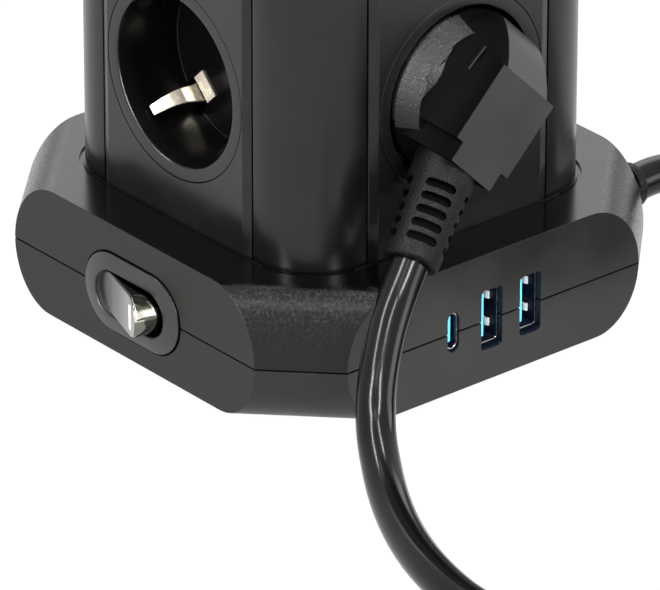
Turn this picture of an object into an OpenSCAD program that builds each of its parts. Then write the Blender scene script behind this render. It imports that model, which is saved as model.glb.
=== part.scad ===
// Tower power strip: a square base with a switch and charging outlets carries
// a square column with two rows of four recessed sockets with earth clips.
// Its own supply lead lies in a coil and its plug is parked in a socket.
// Origin: centre of the footprint, on the surface it stands on. Front is -Y.

/* [Base] */
// Width of the base between its flat faces
base_w = 114.4; // [100:0.1:140]
// Height of the base housing without its feet
base_h = 31.4; // [29:0.1:40]
// Leg of the cut corner where the corner is widest
corner_leg = 14.4; // [10:0.1:20]
// Height of the seam between the two shells, above the housing's underside
seam_h = 14.8; // [13:0.1:17]
// How far the rolled corner draws in at the top
roll_top_in = 10.5; // [6:0.1:12]
// How far the rolled corner draws in at the bottom
roll_bottom_in = 8.8; // [5:0.1:11]
// Wall of the base shells
shell_t = 2.5; // [2:0.1:3]
// Open line between the two shells
seam_gap = 0.4; // [0.2:0.1:0.8]
// Height of the rubber feet below the housing
foot_lift = 2; // [1:0.1:4]
// Radius of a rubber foot
foot_r = 5.5; // [4:0.1:7]
// Distance of a foot from the base's flat faces
foot_in = 27.2; // [25:0.1:31]
// Distance of a housing screw from the base's flat faces
base_screw_in = 17.7; // [17:0.1:19]

/* [Column] */
// Width of the column over its raised panels
column_w = 89.8; // [86:0.1:96]
// Height of the column above the base
column_h = 130.4; // [126:0.1:150]
// Flat of a corner post between its seam and its round corner
post_flat = 1.67; // [1:0.01:3]
// Wall of a corner post
post_t = 3; // [2.6:0.1:3.4]
// Half width of a panel, up to its seams
panel_half_w = 26.1; // [25.5:0.1:27]
// Half width of the raised field of a panel
field_half_w = 23.7; // [23.6:0.1:24.5]
// Height of the raised field above the posts
field_rise = 0.83; // [0.5:0.01:1.2]
// Thickness of a panel
panel_t = 4; // [3.4:0.1:4.6]
// Open line between a panel and a post
panel_gap = 0.4; // [0.2:0.1:0.6]
// Height of the top cap
cap_h = 13; // [10:0.1:20]
// Bevel round the top of the cap
cap_bevel = 4; // [2:0.1:5]
// Wall of the cap
cap_t = 2.5; // [2:0.1:3]
// Distance of a column screw from the surface of the round corner
post_screw_in = 8.2; // [8:0.1:9]

/* [Sockets] */
// Height of the lower socket centre above the base
socket_low_h = 34.2; // [32:0.1:38]
// Distance between the two rows of sockets
socket_pitch = 62; // [58:0.1:66]
// Radius of the round recess
recess_r = 20.2; // [20:0.05:20.6]
// Depth of the recess
recess_d = 17.2; // [16.8:0.1:17.6]
// Wall of a socket cup
cup_t = 1.2; // [1:0.1:1.4]
// Radius of the cup's flush flange
flange_r = 23.4; // [23:0.05:23.5]
// Thickness of the flange
flange_t = 2; // [1.5:0.1:2.2]
// Thickness of the recess floor
floor_t = 1.8; // [1.5:0.1:2]
// Space for the shutter behind the floor
shutter_room = 2.8; // [2.6:0.1:3]
// Thickness of a shutter
shutter_t = 2; // [1.6:0.1:2.2]
// Width of a shutter bar
shutter_w = 7; // [6.6:0.1:7.4]
// Turn of a shutter that a plug holds open
shutter_turn = 42; // [41:1:46]
// Distance between the two pins
pin_pitch = 19; // [18.8:0.1:19.2]
// Diameter of a contact hole in the floor
pin_hole_d = 5.4; // [5.2:0.1:5.8]
// Width of a guide rib in the recess
rib_w = 4.6; // [4:0.1:5]
// How far a guide rib stands out of the wall
rib_rise = 2.2; // [1.8:0.1:2.4]
// Width of an earth clip
clip_w = 7; // [6:0.1:7.4]
// Sheet of the earth clips
clip_t = 0.8; // [0.6:0.1:1]
// Distance of a clip's contact bend from the socket axis
clip_bend_r = 16.3; // [16.1:0.1:17]

/* [Rails] */
// Sheet of the contact rails
rail_t = 1; // [0.8:0.1:1.2]
// Width of the live and neutral rails
rail_w = 8; // [7:0.1:8.2]
// Length of a contact sleeve
sleeve_l = 9.8; // [8:0.1:10.4]
// Wall of a contact sleeve
sleeve_t = 0.7; // [0.5:0.05:0.8]
// Half width of the insulating rail carrier
carrier_half_w = 6.4; // [5.5:0.1:6.6]
// Width of the earth rail
earth_rail_w = 6; // [4:0.1:6.2]

/* [Plug] */
// Diameter of a plug pin
pin_d = 4.8; // [4.6:0.1:4.8]
// Length of a plug pin
pin_l = 19; // [18:0.1:19.5]
// Radius of the plug disc
disc_r = 19.3; // [19:0.05:19.6]
// Height of the grip above the panel
grip_h = 16.2; // [14:0.1:22]
// Half width of the grip
grip_half_w = 10.3; // [10:0.1:12.5]
// Length of the grip's flat top behind the pins
grip_back = 7.9; // [6:0.1:9]
// Length of the grip's flat top before the pins
grip_front = 10.9; // [10:0.1:13]
// Reach of the neck that holds the strain relief
neck_reach = 18; // [17:0.1:20]
// Half width of the neck
neck_half_w = 7.8; // [7.5:0.1:9]
// Length of the strain relief
relief_l = 22; // [18:0.1:26]
// Radius of the strain relief at the plug
relief_r1 = 7.3; // [6.5:0.1:7.6]
// Radius of the strain relief at its end
relief_r2 = 6.3; // [5.6:0.1:6.6]
// Number of slots in the strain relief
relief_slots = 5; // [3:1:6]
// Tilt of the strain relief away from the panel
relief_tilt = 17; // [15:0.1:24]

/* [Switch] */
// Length of the switch housing
switch_l = 33.4; // [31:0.1:36]
// Height of the switch housing
switch_w = 19.1; // [18:0.1:21]
// Depth of the switch housing
switch_d = 18; // [17:0.1:22]
// Rise of the bezel's inner rim above the face
bezel_rise = 1.2; // [0.8:0.1:1.6]
// Length of the rocker
rocker_l = 21.2; // [20:0.1:22]
// Height of the rocker
rocker_w = 10.4; // [10:0.1:11]
// Distance of the rocker's pivot behind the face
rocker_pivot_in = 1.6; // [1.5:0.1:3]
// Distance of the rocker's face from its pivot
rocker_face = 5.15; // [4.6:0.05:5.6]
// Depth of the rocker's body below its face
rocker_deep = 6.6; // [6:0.1:8]
// Tilt of the rocker to either side
rocker_tilt = 18; // [12:1:20]

/* [Charging outlets] */
// Distance of the small outlet from the middle
usb_c_at = 12.4; // [11.5:0.1:14]
// Distance of the first large outlet from the middle
usb_a_at = 0.9; // [0:0.1:1.5]
// Distance between the two large outlets
usb_a_pitch = 11.3; // [10:0.1:13]
// Height of the small outlet's shell
usb_c_h = 8.9; // [8.6:0.1:9.2]
// Width of the small outlet's shell
usb_c_w = 3.3; // [3.1:0.05:3.4]
// Height of a large outlet's shell
usb_a_h = 13.1; // [12.8:0.1:13.4]
// Width of a large outlet's shell
usb_a_w = 5.7; // [5.5:0.05:5.9]
// Depth of a large outlet's shell
usb_a_d = 14; // [12:0.1:16]
// Thickness of the charging board
board_t = 1.6; // [1:0.1:2]

/* [Lead] */
// Diameter of the supply lead
lead_d = 8.8; // [8:0.1:9.2]
// Distance of the lead gland from the middle
gland_at = 26; // [22:0.1:26]
// Length of the gland outside the base
gland_l = 12; // [11:0.1:20]
// Radius of the gland outside the base
gland_r = 6; // [6:0.1:7]

/* [Hidden] */
$fn = 48;

// Common clearances and the overrun of every cut
over = 1;
slip = 0.15;
run_slip = 0.08;
free = 0.3;
shell_black = [0.16, 0.15, 0.15];
gloss_black = [0.09, 0.09, 0.09];
lead_black = [0.12, 0.12, 0.12];
nickel = [0.78, 0.76, 0.7];
brass = [0.8, 0.66, 0.36];
steel = [0.62, 0.62, 0.64];

// Heights
base_z = foot_lift;
seam_z = base_z + seam_h;
base_top = base_z + base_h;
column_top = base_top + column_h;
part_top = column_top + cap_h;
socket_z = [base_top + socket_low_h, base_top + socket_low_h + socket_pitch];
LOW = 0;
HIGH = 1;
FRONT = 0;
QUARTER = 360 / 4;
RIGHT = QUARTER;
BACK = 2 * QUARTER;
LEFT = -QUARTER;
SIDES = [FRONT, RIGHT, BACK, LEFT];

// Plan sizes
base_half = base_w / 2;
foot_at = base_half - foot_in;
base_screw_at = base_half - base_screw_in;
panel_y = column_w / 2;
post_half = panel_y - field_rise;
post_r = post_half - panel_half_w - post_flat;
post_screw_at = post_half - post_r + (post_r - post_screw_in) / sqrt(2);
floor_top = base_z + shell_t;
roof_under = base_top - shell_t;
roll_steps = 10;

// Base details
foot_recess = 1;
screw_r = 1.5;
pilot_r = 1.25;
head_r = 2.8;
head_h = 1.8;
boss_r = 3.2;
head_sink = 1.2;
roof_opening = 22;
foot_groove_w = 0.9;
foot_groove_d = 0.6;
foot_groove_out = 0.5;

// Post and panel details
tongue_in = 1.9;
tongue_depth = 1.8;
tongue_reach_share = 0.7;
rim_t = panel_t - field_rise - tongue_reach_share * field_rise;
web_w = 3;
column_boss_r = 3.6;
column_screw_l = 14;

// Socket layers, as depths behind the panel
cup_r = recess_r + cup_t;
pivot_r = 1.5;
layer_floor = recess_d + floor_t;
layer_bridge = layer_floor + shutter_room;
layer_rail = layer_bridge + clip_t;
shutter_front = layer_floor + (shutter_room - shutter_t) / 2;
rib_len = recess_d - flange_t;
clip_top_d = 3;
clip_bend_d = 8;
clip_bend_l = 1.5;
clip_wall_gap = 0.2;
clip_foot_r = recess_r - 2.2;
slot_l = 2.6;
pin_turn = 135;
earth_turn = 45;

// Rail layers
sleeve_d = layer_rail + free;
rail_d = sleeve_d + sleeve_l - rail_t;
rail_at = pin_pitch / 2 * sin(earth_turn);
rail_inner = panel_y - rail_d - rail_t;
sleeve_bore_r = pin_d / 2 + 0.1;
ring_out = rail_inner - 0.5;
ring_first = 7;
ring_pitch = 6;
live_ring_z = base_top + ring_first;
neutral_ring_z = live_ring_z + ring_pitch;
earth_ring_z = neutral_ring_z + ring_pitch;
earth_ring_w = 4;
neutral_tab_half = 1.9;
neutral_tab_out = 4.5;
carrier_foot_half = 24;
carrier_foot_t = 2;
carrier_bore_half = 3.4;

// Wires in the base
wire_r = 1.4;
wire_sides = 24;
wire_bead = 0.12;
block_in = 23.2;
block_w = 14;
block_half = 11;
block_lift = 3;
block_h = 11.5;
block_screw_pitch = 7;
block_x1 = base_half - block_in;
block_x0 = block_x1 - block_w;
block_y0 = -gland_at - block_half;
block_y1 = -gland_at + block_half;
block_z0 = floor_top + block_lift;
block_z1 = block_z0 + block_h;
core_pitch = 2.2;
wire_step = 4;
wire_back = 8;
wire_side = 5;
live_wire_in = 2.2;
neutral_wire_out = 2.6;
earth_wire_in = 1.2;
wire_low = 6.5;
wire_rise = 3;
live_wire = [ring_out - live_wire_in, -wire_side];
neutral_wire = [rail_inner + rail_t + neutral_wire_out, 0];
earth_wire = [panel_y - layer_rail - rail_t - earth_wire_in, wire_side + over];
wire_z = [for (i = [0 : 2]) floor_top + wire_low + i * wire_rise];

// Switch details
switch_lip = 1.5;
switch_lip_t = 0.4;
bezel_steps = 3;
bezel_slope = 1.1;
pivot_x = -base_half + rocker_pivot_in;
trunnion_r = 1.2;
trunnion_l = 1.6;
rocker_gap = 0.3;
rocker_waist = 3;
rocker_swing = rocker_l / 2 * cos(rocker_tilt) + rocker_face * sin(rocker_tilt);
window_l = 2 * (rocker_swing + rocker_gap);
window_w = rocker_w + 2 * rocker_gap;
window_depth = switch_d - 3;
dish_r = 75;
blade_pocket = 2;
blade_l = 6;
blade_w = 4.8;
blade_t = 0.8;
blade_at = 6;

// Outlet details
usb_inset = 1.2;
usb_wall = 0.35;
usb_gap = 0.3;
tongue_w_c = 0.7;
tongue_w_a = 1.7;
tongue_h_c = 6.7;
tongue_h_a = 11.1;
tongue_len_a = 8.6;
tongue_len_c = 4.6;
usb_c_d = 7.5;
spring_l = 5;
spring_w = 2;
board_deep = 28.1;
board_x0 = -26;
board_x1 = 18;
board_y0 = -base_half + shell_t + 0.6;
board_y1 = board_y0 + board_deep;
board_top = seam_z - usb_a_h / 2;
core_l = 13;
core_w = 11;
core_h = 10;
can_r = 3.2;
can_h = 11;
can_pitch = 8;
chip_l = 6;
chip_w = 5;
chip_h = 1.6;

// Plug details
plug_rim = 1.5;
shoulder_h = 4;
shoulder_in = 3.4;
grip_foot_w = 16.3;
grip_foot_z = 5;
grip_steps = 6;
grip_plan = [[-disc_r, 5], [-13.4, 10.5], [-6.9, 14.9], [0.5, grip_foot_w], [3.2, grip_foot_w]];
grip_toe_w = 12.2;
neck_drop = 2.5;
plug_face = -recess_d + free;
pin_tip = 0.8;
pin_root = 7;
blade_strip_w = 4.67;

// Lead details
relief_start = [neck_reach, 9];
relief_end = relief_start + relief_l * [cos(relief_tilt), sin(relief_tilt)];
slot_w = 1.3;
slot_deep = 2.1;
lead_z = lead_d / 2 + 0.1;
gland_end_x = base_half + gland_l;
gland_neck_r = 5.6;
gland_flange_r = 8.2;
gland_flange_t = 2;
clamp_in = 14.2;
clamp_x0 = base_half - clamp_in;
clamp_l = 8;
clamp_half = 11;
clamp_h = 4;
clamp_screw_at = 8;
sheath_out = 4;
sheath_end_x = clamp_x0 - sheath_out;
lead_sides = 8;
coil_sides = 6;
coil_steps = 24;
coil_c = [58, -128];
coil_r = 50;
coil_step = lead_d + 0.55;
coil_in_turns = 2;
coil_climb_turns = 0.5;
coil_out_turns = 1.75;

// Where the lead meets the plug's strain relief, and its heading there
plug_c = [0, -panel_y, socket_z[LOW]];
lead_start = plug_c + [-relief_end[0] * sin(earth_turn), -relief_end[1], -relief_end[0] * sin(earth_turn)];
lead_dir = [-cos(relief_tilt) * sin(earth_turn), -sin(relief_tilt), -cos(relief_tilt) * sin(earth_turn)];
near_route = [
    [-40, -66.7, 28.5], [-46.5, -71.7, 21.5], [-50.5, -76, 15], [-54.3, -81.8, 10.3],
    [-60.5, -92.5, 6.5], [-67, -106, 4.8], [-72.5, -121.5, 4.5], [-75.5, -138, 4.5],
    [-73.5, -154, 4.5], [-65, -168, 4.5], [-51, -177, 4.5], [-34, -180.5, 4.5],
    [-15, -180, 4.5], [4, -179, 4.5], [22, -178.3, 4.5], [36, -178, 4.5]];
far_route = [
    [106.5, -104, 12.8], [109, -88, 8.2], [111.4, -73, 5], [112, -60, 5.2],
    [109.4, -47, 7.6], [102, -36, 11.2], [91, -28.6, 14.9]];

// Points of the coil: in along the floor, up, and out again on top
coil_turns = coil_in_turns + coil_climb_turns + coil_out_turns;
coil_turn_back = coil_in_turns + coil_climb_turns / 2;
function coil_radius(t) = coil_r - coil_step * (t < coil_turn_back ? t : 2 * coil_turn_back - t);
function coil_height(t) =
    lead_z + coil_step * (1 - cos(180 * min(max((t - coil_in_turns) / coil_climb_turns, 0), 1))) / 2;
function coil_point(t) = [
    coil_c[0] + coil_radius(t) * cos(360 * t - 90),
    coil_c[1] + coil_radius(t) * sin(360 * t - 90),
    coil_height(t)];
coil_count = round(coil_turns * coil_steps);
coil_first = coil_point(0);
coil_last = coil_point(coil_turns);
coil_route = concat(
    [coil_first - [lead_d, 0, 0]],
    [for (i = [0 : coil_count]) coil_point(i / coil_steps)],
    [coil_last + [0, lead_d, 0]]);
near_full = concat([lead_start, lead_start + lead_d * lead_dir], near_route, [coil_first - [lead_d, 0, 0]]);
far_full = concat([coil_last + [0, lead_d, 0]], far_route,
    [[gland_end_x + lead_d, -gland_at, seam_z], [gland_end_x, -gland_at, seam_z]]);

function unit(v) = v / norm(v);
function tangent(p, i) = unit(p[min(i + 1, len(p) - 1)] - p[max(i - 1, 0)]);
function ring(p, i, r, sides) =
    let (t = tangent(p, i), side = unit(cross([0, 0, 1], t)), lift = cross(t, side))
    [for (k = [0 : sides - 1])
        p[i] + r * (cos(360 * (k + 0.5) / sides) * side + sin(360 * (k + 0.5) / sides) * lift)];
function length_of(p) = len(p) < 2 ? 0
    : [for (i = 0, s = 0; i < len(p) - 1; s = s + norm(p[i + 1] - p[i]), i = i + 1) s + norm(p[i + 1] - p[i])][len(p) - 2];
coil_gap = min([for (i = [0 : coil_count - 8]) for (j = [i + 8 : coil_count])
    norm(coil_point(i / coil_steps) - coil_point(j / coil_steps))]) - lead_d;
echo("least gap of the coil to itself", coil_gap);
echo("lead length", length_of(near_full), length_of(coil_route), length_of(far_full));

// One tube along a list of points, closed at both ends
module tube(p, r, sides) {
    rings = [for (i = [0 : len(p) - 1]) ring(p, i, r, sides)];
    points = [for (one = rings) each one];
    last = (len(p) - 1) * sides;
    walls = [for (i = [0 : len(p) - 2]) for (k = [0 : sides - 1])
        let (a = i * sides + k, b = i * sides + (k + 1) % sides)
        each [[a, b, b + sides], [a, b + sides, a + sides]]];
    caps = [for (k = [1 : sides - 2]) each [[0, k + 1, k], [last, last + k, last + k + 1]]];
    polyhedron(points = points, faces = [for (f = concat(walls, caps)) [f[2], f[1], f[0]]]);
}

// A straight rod between two points, and a run of them with round bends
module rod(a, b, r) {
    v = b - a;
    translate(a)
        rotate([0, acos(v[2] / norm(v)), atan2(v[1], v[0])])
            cylinder(h = norm(v), r = r, $fn = wire_sides);
}

module wire(points, r = wire_r) {
    for (i = [0 : len(points) - 2]) rod(points[i], points[i + 1], r);
    if (len(points) > 2)
        for (i = [1 : len(points) - 2]) translate(points[i]) sphere(r = r + wire_bead, $fn = wire_sides);
}

// Places: a face of the column seen from outside, and one socket on it
module on_face(turn, out) {
    rotate([0, 0, turn]) rotate([90, 0, 0]) translate([0, 0, out]) children();
}

module at_socket(turn, row) {
    on_face(turn, panel_y) translate([0, socket_z[row], 0]) children();
}

module at_corners(d) {
    for (x = [-1, 1]) for (y = [-1, 1]) translate([x * d, y * d, 0]) children();
}

// Base: the rolled corner's outline, and the body that it makes
function roll_side(inset, z0, z1) =
    let (
        half = (base_w - corner_leg) / sqrt(2) - inset,
        tall = z1 - seam_z,
        deep = seam_z - z0)
    concat(
        [for (i = [0 : roll_steps]) let (a = 90 * i / roll_steps)
            [half - roll_bottom_in * (1 - sin(a)), seam_z - deep * cos(a)]],
        [for (i = [1 : roll_steps]) let (a = 90 * i / roll_steps)
            [half - roll_top_in * (1 - cos(a)), seam_z + tall * sin(a)]]);

module roll_prism(inset, z0, z1, turn) {
    side = roll_side(inset, z0, z1);
    outline = concat(side, [for (i = [len(side) - 1 : -1 : 0]) [-side[i][0], side[i][1]]]);
    rotate([0, 0, turn])
        rotate([90, 0, 0])
            linear_extrude(height = 2 * base_w, center = true)
                polygon(outline);
}

module base_body(inset, z0, z1) {
    intersection() {
        translate([inset - base_half, inset - base_half, z0])
            cube([base_w - 2 * inset, base_w - 2 * inset, z1 - z0]);
        roll_prism(inset, z0, z1, 45);
        roll_prism(inset, z0, z1, -45);
    }
}

module base_shell_blank() {
    difference() {
        base_body(0, base_z, base_top);
        base_body(shell_t, floor_top, roof_under);
    }
}

module switch_cut(grow) {
    on_face(LEFT, base_half - switch_d - over) translate([0, seam_z, 0])
        linear_extrude(height = switch_d + 3 * over)
            stadium(switch_l - 2 * switch_lip + 2 * grow, switch_w - 2 * switch_lip + 2 * grow);
}

module stadium(l, w) {
    square([l - w, w], center = true);
    for (s = [-1, 1]) translate([s * (l - w) / 2, 0]) circle(d = w);
}

module outlet_cuts() {
    on_face(FRONT, base_half - shell_t - over) translate([0, seam_z, 0]) {
        translate([-usb_c_at, 0, 0])
            linear_extrude(height = shell_t + 2 * over)
                rounded(usb_c_w + 2 * usb_gap, usb_c_h + 2 * usb_gap, usb_c_w / 2);
        for (i = [0, 1]) translate([-usb_a_at + i * usb_a_pitch, 0, 0])
            linear_extrude(height = shell_t + 2 * over)
                rounded(usb_a_w + 2 * usb_gap, usb_a_h + 2 * usb_gap, 2 * usb_gap);
    }
}

module rounded(w, h, r) {
    square([w - 2 * r, h], center = true);
    square([w, h - 2 * r], center = true);
    for (x = [-1, 1]) for (y = [-1, 1])
        translate([x * (w / 2 - r), y * (h / 2 - r)]) circle(r = r);
}

module gland_cut(grow) {
    translate([base_half - shell_t - over, -gland_at, seam_z])
        rotate([0, 90, 0]) cylinder(h = shell_t + 2 * over, r = gland_neck_r + grow);
}

module base_cuts() {
    switch_cut(slip);
    outlet_cuts();
    gland_cut(slip);
}

module base_lower_shell() {
    color(shell_black) difference() {
        union() {
            intersection() {
                base_shell_blank();
                translate([-base_w, -base_w, 0]) cube([2 * base_w, 2 * base_w, seam_z - seam_gap / 2]);
            }
            translate([0, 0, floor_top - over / 2])
                at_corners(base_screw_at) cylinder(h = seam_z - seam_gap / 2 - floor_top + over / 2, r = boss_r);
            for (x = [board_x0 + boss_r, board_x1 - boss_r]) for (y = [board_y0 + boss_r, board_y1 - boss_r])
                translate([x, y, floor_top - over / 2])
                    cylinder(h = board_top - board_t - floor_top + over / 2, r = boss_r);
            translate([clamp_x0, -gland_at - clamp_half, floor_top - over / 2])
                cube([clamp_l, 2 * clamp_half, seam_z - lead_d / 2 - floor_top + over / 2]);
            translate([block_x0, block_y0, floor_top - over / 2])
                cube([block_x1 - block_x0, block_y1 - block_y0, block_z0 - floor_top + over / 2]);
            translate([-base_half + switch_d - 2 * shell_t, -switch_w / 2, floor_top - over / 2])
                cube([shell_t, switch_w, seam_z - switch_w / 2 + switch_lip - floor_top + over / 2]);
        }
        base_cuts();
        translate([0, 0, base_z - over]) at_corners(base_screw_at) {
            cylinder(h = base_h, r = screw_r + slip);
            cylinder(h = head_h + head_sink + over, r = head_r + slip);
        }
        translate([0, 0, base_z - over]) at_corners(foot_at) cylinder(h = foot_recess + over, r = foot_r + slip);
        translate([clamp_x0 + clamp_l / 2, -gland_at, floor_top])
            for (s = [-1, 1]) translate([0, s * clamp_screw_at, over]) cylinder(h = base_h, r = pilot_r);
    }
}

module base_upper_shell() {
    color(shell_black) difference() {
        union() {
            intersection() {
                base_shell_blank();
                translate([-base_w, -base_w, seam_z + seam_gap / 2]) cube([2 * base_w, 2 * base_w, base_h]);
            }
            translate([0, 0, seam_z + seam_gap / 2])
                at_corners(base_screw_at) cylinder(h = roof_under - seam_z - seam_gap / 2 + over / 2, r = boss_r);
        }
        base_cuts();
        translate([0, 0, seam_z]) at_corners(base_screw_at)
            cylinder(h = roof_under - seam_z - over, r = pilot_r);
        translate([0, 0, roof_under - over]) at_corners(post_screw_at)
            cylinder(h = shell_t + 2 * over, r = screw_r + slip);
        translate([-roof_opening, -roof_opening, roof_under - over])
            cube([2 * roof_opening, 2 * roof_opening, shell_t + 2 * over]);
        translate([0, 0, base_top - foot_groove_d]) linear_extrude(height = foot_groove_d + over)
            difference() {
                column_outline(foot_groove_out + foot_groove_w);
                column_outline(foot_groove_out);
            }
    }
}

module rubber_feet() {
    color(lead_black) at_corners(foot_at) cylinder(h = foot_lift + foot_recess, r = foot_r);
}

module base_screws() {
    color(steel) translate([0, 0, base_z + head_sink]) at_corners(base_screw_at) {
        cylinder(h = head_h, r = head_r);
        cylinder(h = roof_under - base_z - head_sink - 4 * over, r = pilot_r);
    }
}

// Switch: housing with a stepped bezel, round-ended rocker with a dished face, blades
module switch_housing() {
    color(gloss_black) difference() {
        on_face(LEFT, base_half) translate([0, seam_z, 0]) {
            translate([0, 0, -switch_d])
                linear_extrude(height = switch_d)
                    stadium(switch_l - 2 * switch_lip, switch_w - 2 * switch_lip);
            linear_extrude(height = switch_lip_t) stadium(switch_l, switch_w);
            for (i = [1 : bezel_steps])
                linear_extrude(height = switch_lip_t + (bezel_rise - switch_lip_t) * i / bezel_steps)
                    stadium(switch_l - 2 * bezel_slope * i, switch_w - 2 * bezel_slope * i);
        }
        on_face(LEFT, base_half - window_depth) translate([0, seam_z, 0])
            linear_extrude(height = window_depth + bezel_rise + over) stadium(window_l, window_w);
        translate([pivot_x, 0, seam_z])
            cylinder(h = rocker_w + 2 * (trunnion_l + slip), r = trunnion_r + run_slip, center = true);
        on_face(LEFT, base_half - switch_d - over) translate([0, seam_z, 0])
            for (s = [-1, 1]) translate([s * blade_at, 0, over])
                cube([blade_t + 2 * slip, blade_w + 2 * slip, 2 * (blade_pocket + slip)], center = true);
    }
}

module rocker_at_rest() {
    translate([pivot_x, 0, seam_z]) rotate([0, 0, -rocker_tilt]) children();
}

module switch_rocker() {
    foot = rocker_face - rocker_deep;
    color(gloss_black) rocker_at_rest() {
        difference() {
            intersection() {
                linear_extrude(height = rocker_w, center = true)
                    polygon([
                        [-rocker_face, -rocker_l / 2], [-rocker_face, rocker_l / 2],
                        [-foot, rocker_l / 2], [rocker_waist, rocker_waist],
                        [rocker_waist, -rocker_waist], [-foot, -rocker_l / 2]]);
                on_face(LEFT, -rocker_waist) linear_extrude(height = rocker_face + rocker_waist)
                    stadium(rocker_l, rocker_w);
            }
            translate([-rocker_face - sqrt(dish_r * dish_r - rocker_l * rocker_l / 4), 0, 0])
                cylinder(h = rocker_w + 2 * over, r = dish_r - slip, center = true, $fn = 180);
        }
        cylinder(h = rocker_w + 2 * trunnion_l, r = trunnion_r, center = true);
    }
}

module switch_terminals() {
    color(brass) on_face(LEFT, base_half - switch_d) translate([0, seam_z, 0])
        for (s = [-1, 1]) translate([s * blade_at, 0, over - blade_l / 2])
            cube([blade_t, blade_w, blade_l + 2 * over], center = true);
}

// Charging outlets, their board and what stands on it
module usb_sleeve(w, h, d, r) {
    difference() {
        linear_extrude(height = d) rounded(w, h, r);
        translate([0, 0, usb_wall])
            linear_extrude(height = d) rounded(w - 2 * usb_wall, h - 2 * usb_wall, max(r - usb_wall, usb_wall));
    }
}

module usb_a_shells() {
    color(nickel) for (i = [0, 1])
        on_face(FRONT, base_half - usb_inset - usb_a_d)
            translate([-usb_a_at + i * usb_a_pitch, seam_z, 0]) {
                usb_sleeve(usb_a_w, usb_a_h, usb_a_d, usb_wall * 2);
                for (s = [-1, 1]) translate([usb_a_w / 2 - usb_wall, s * usb_a_h / 4, usb_a_d / 2])
                    cube([2 * usb_wall, spring_w, spring_l], center = true);
            }
}

module usb_c_shell() {
    color(nickel) on_face(FRONT, base_half - usb_inset - usb_c_d) translate([-usb_c_at, seam_z, 0]) {
        usb_sleeve(usb_c_w, usb_c_h, usb_c_d, usb_c_w / 2 - usb_wall / 4);
        translate([-usb_wall, board_top - seam_z, 0])
            cube([2 * usb_wall, seam_z - board_top - usb_c_h / 2 + usb_wall,
                usb_c_d - shell_t + usb_inset - usb_gap]);
    }
}

module usb_tongues() {
    color([0.1, 0.25, 0.5]) on_face(FRONT, base_half - usb_inset - usb_a_d + usb_wall)
        for (i = [0, 1]) translate([-usb_a_at + i * usb_a_pitch - usb_a_w / 2 + usb_wall + usb_gap, seam_z, 0])
            translate([0, -tongue_h_a / 2, 0]) cube([tongue_w_a, tongue_h_a, usb_a_d - 2 * usb_gap]);
    color(gloss_black) on_face(FRONT, base_half - usb_inset - usb_c_d + usb_wall)
        translate([-usb_c_at - tongue_w_c / 2, seam_z - tongue_h_c / 2, 0])
            cube([tongue_w_c, tongue_h_c, usb_c_d - 3 * usb_gap]);
}

module charging_board() {
    color([0.1, 0.35, 0.2]) translate([board_x0, board_y0, board_top - board_t])
        cube([board_x1 - board_x0, board_y1 - board_y0, board_t]);
}

module board_parts() {
    translate([board_x0 + over, board_y1 - core_w - over, board_top])
        color([0.75, 0.7, 0.3]) cube([core_l, core_w, core_h]);
    for (i = [0, 1]) color([0.2, 0.25, 0.5])
        translate([board_x0 + core_l + can_pitch * (i + 1) - over, board_y1 - chip_w, board_top])
            cylinder(h = can_h, r = can_r);
    color([0.1, 0.1, 0.1]) translate([board_x1 - 2 * chip_l, board_y1 - 2 * chip_w - over, board_top])
        cube([chip_l, chip_w, chip_h]);
}

// Supply lead: gland, clamp, terminals and the wires inside the base
module lead_gland() {
    color(lead_black) translate([base_half - shell_t - gland_flange_t, -gland_at, seam_z]) rotate([0, 90, 0])
        difference() {
            union() {
                cylinder(h = gland_flange_t, r = gland_flange_r);
                cylinder(h = gland_flange_t + shell_t, r = gland_neck_r);
                translate([0, 0, gland_flange_t + shell_t]) cylinder(h = gland_l, r1 = gland_r, r2 = gland_r - slot_w / 2);
            }
            for (i = [0 : 3]) translate([0, 0, gland_flange_t + shell_t + gland_l * (i + 1.5) / 6])
                difference() {
                    cylinder(h = slot_w, r = gland_r + over);
                    translate([0, 0, -over]) cylinder(h = slot_w + 2 * over, r = lead_d / 2 + slot_w / 3);
                }
        }
}

module cord_clamp() {
    color(gloss_black) translate([clamp_x0, -gland_at, seam_z]) difference() {
        translate([0, -clamp_half, slip]) cube([clamp_l, 2 * clamp_half, lead_d / 2 + clamp_h / 2]);
        translate([-over, 0, 0]) rotate([0, 90, 0]) cylinder(h = clamp_l + 2 * over, r = lead_d / 2);
        for (s = [-1, 1]) translate([clamp_l / 2, s * clamp_screw_at, -over])
            cylinder(h = base_h, r = screw_r + slip);
    }
}

module clamp_screws() {
    top = seam_z + slip + lead_d / 2 + clamp_h / 2;
    color(steel) for (s = [-1, 1]) translate([clamp_x0 + clamp_l / 2, -gland_at + s * clamp_screw_at, 0]) {
        translate([0, 0, top]) cylinder(h = head_h, r = head_r);
        translate([0, 0, floor_top + 2 * over]) cylinder(h = top - floor_top - 2 * over + head_h / 2, r = pilot_r);
    }
}

module terminal_block() {
    color([0.85, 0.83, 0.78]) difference() {
        translate([block_x0, block_y0, block_z0])
            cube([block_x1 - block_x0, block_y1 - block_y0, block_z1 - block_z0]);
        for (i = [-1, 0, 1])
            translate([(block_x0 + block_x1) / 2, -gland_at + i * block_screw_pitch, block_z1 - 2 * over])
                cylinder(h = 3 * over, r = boss_r / 2);
    }
}

module switch_wire(side_y, z, blade_side, back) {
    blade_x = -base_half + switch_d + blade_l + slip;
    wire([[block_x0, side_y, z], [blade_x + back, side_y, z], [blade_x + back, blade_side * blade_at, z],
        [blade_x + 2 * wire_r, blade_side * blade_at, seam_z], [blade_x, blade_side * blade_at, seam_z]]);
}

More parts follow.
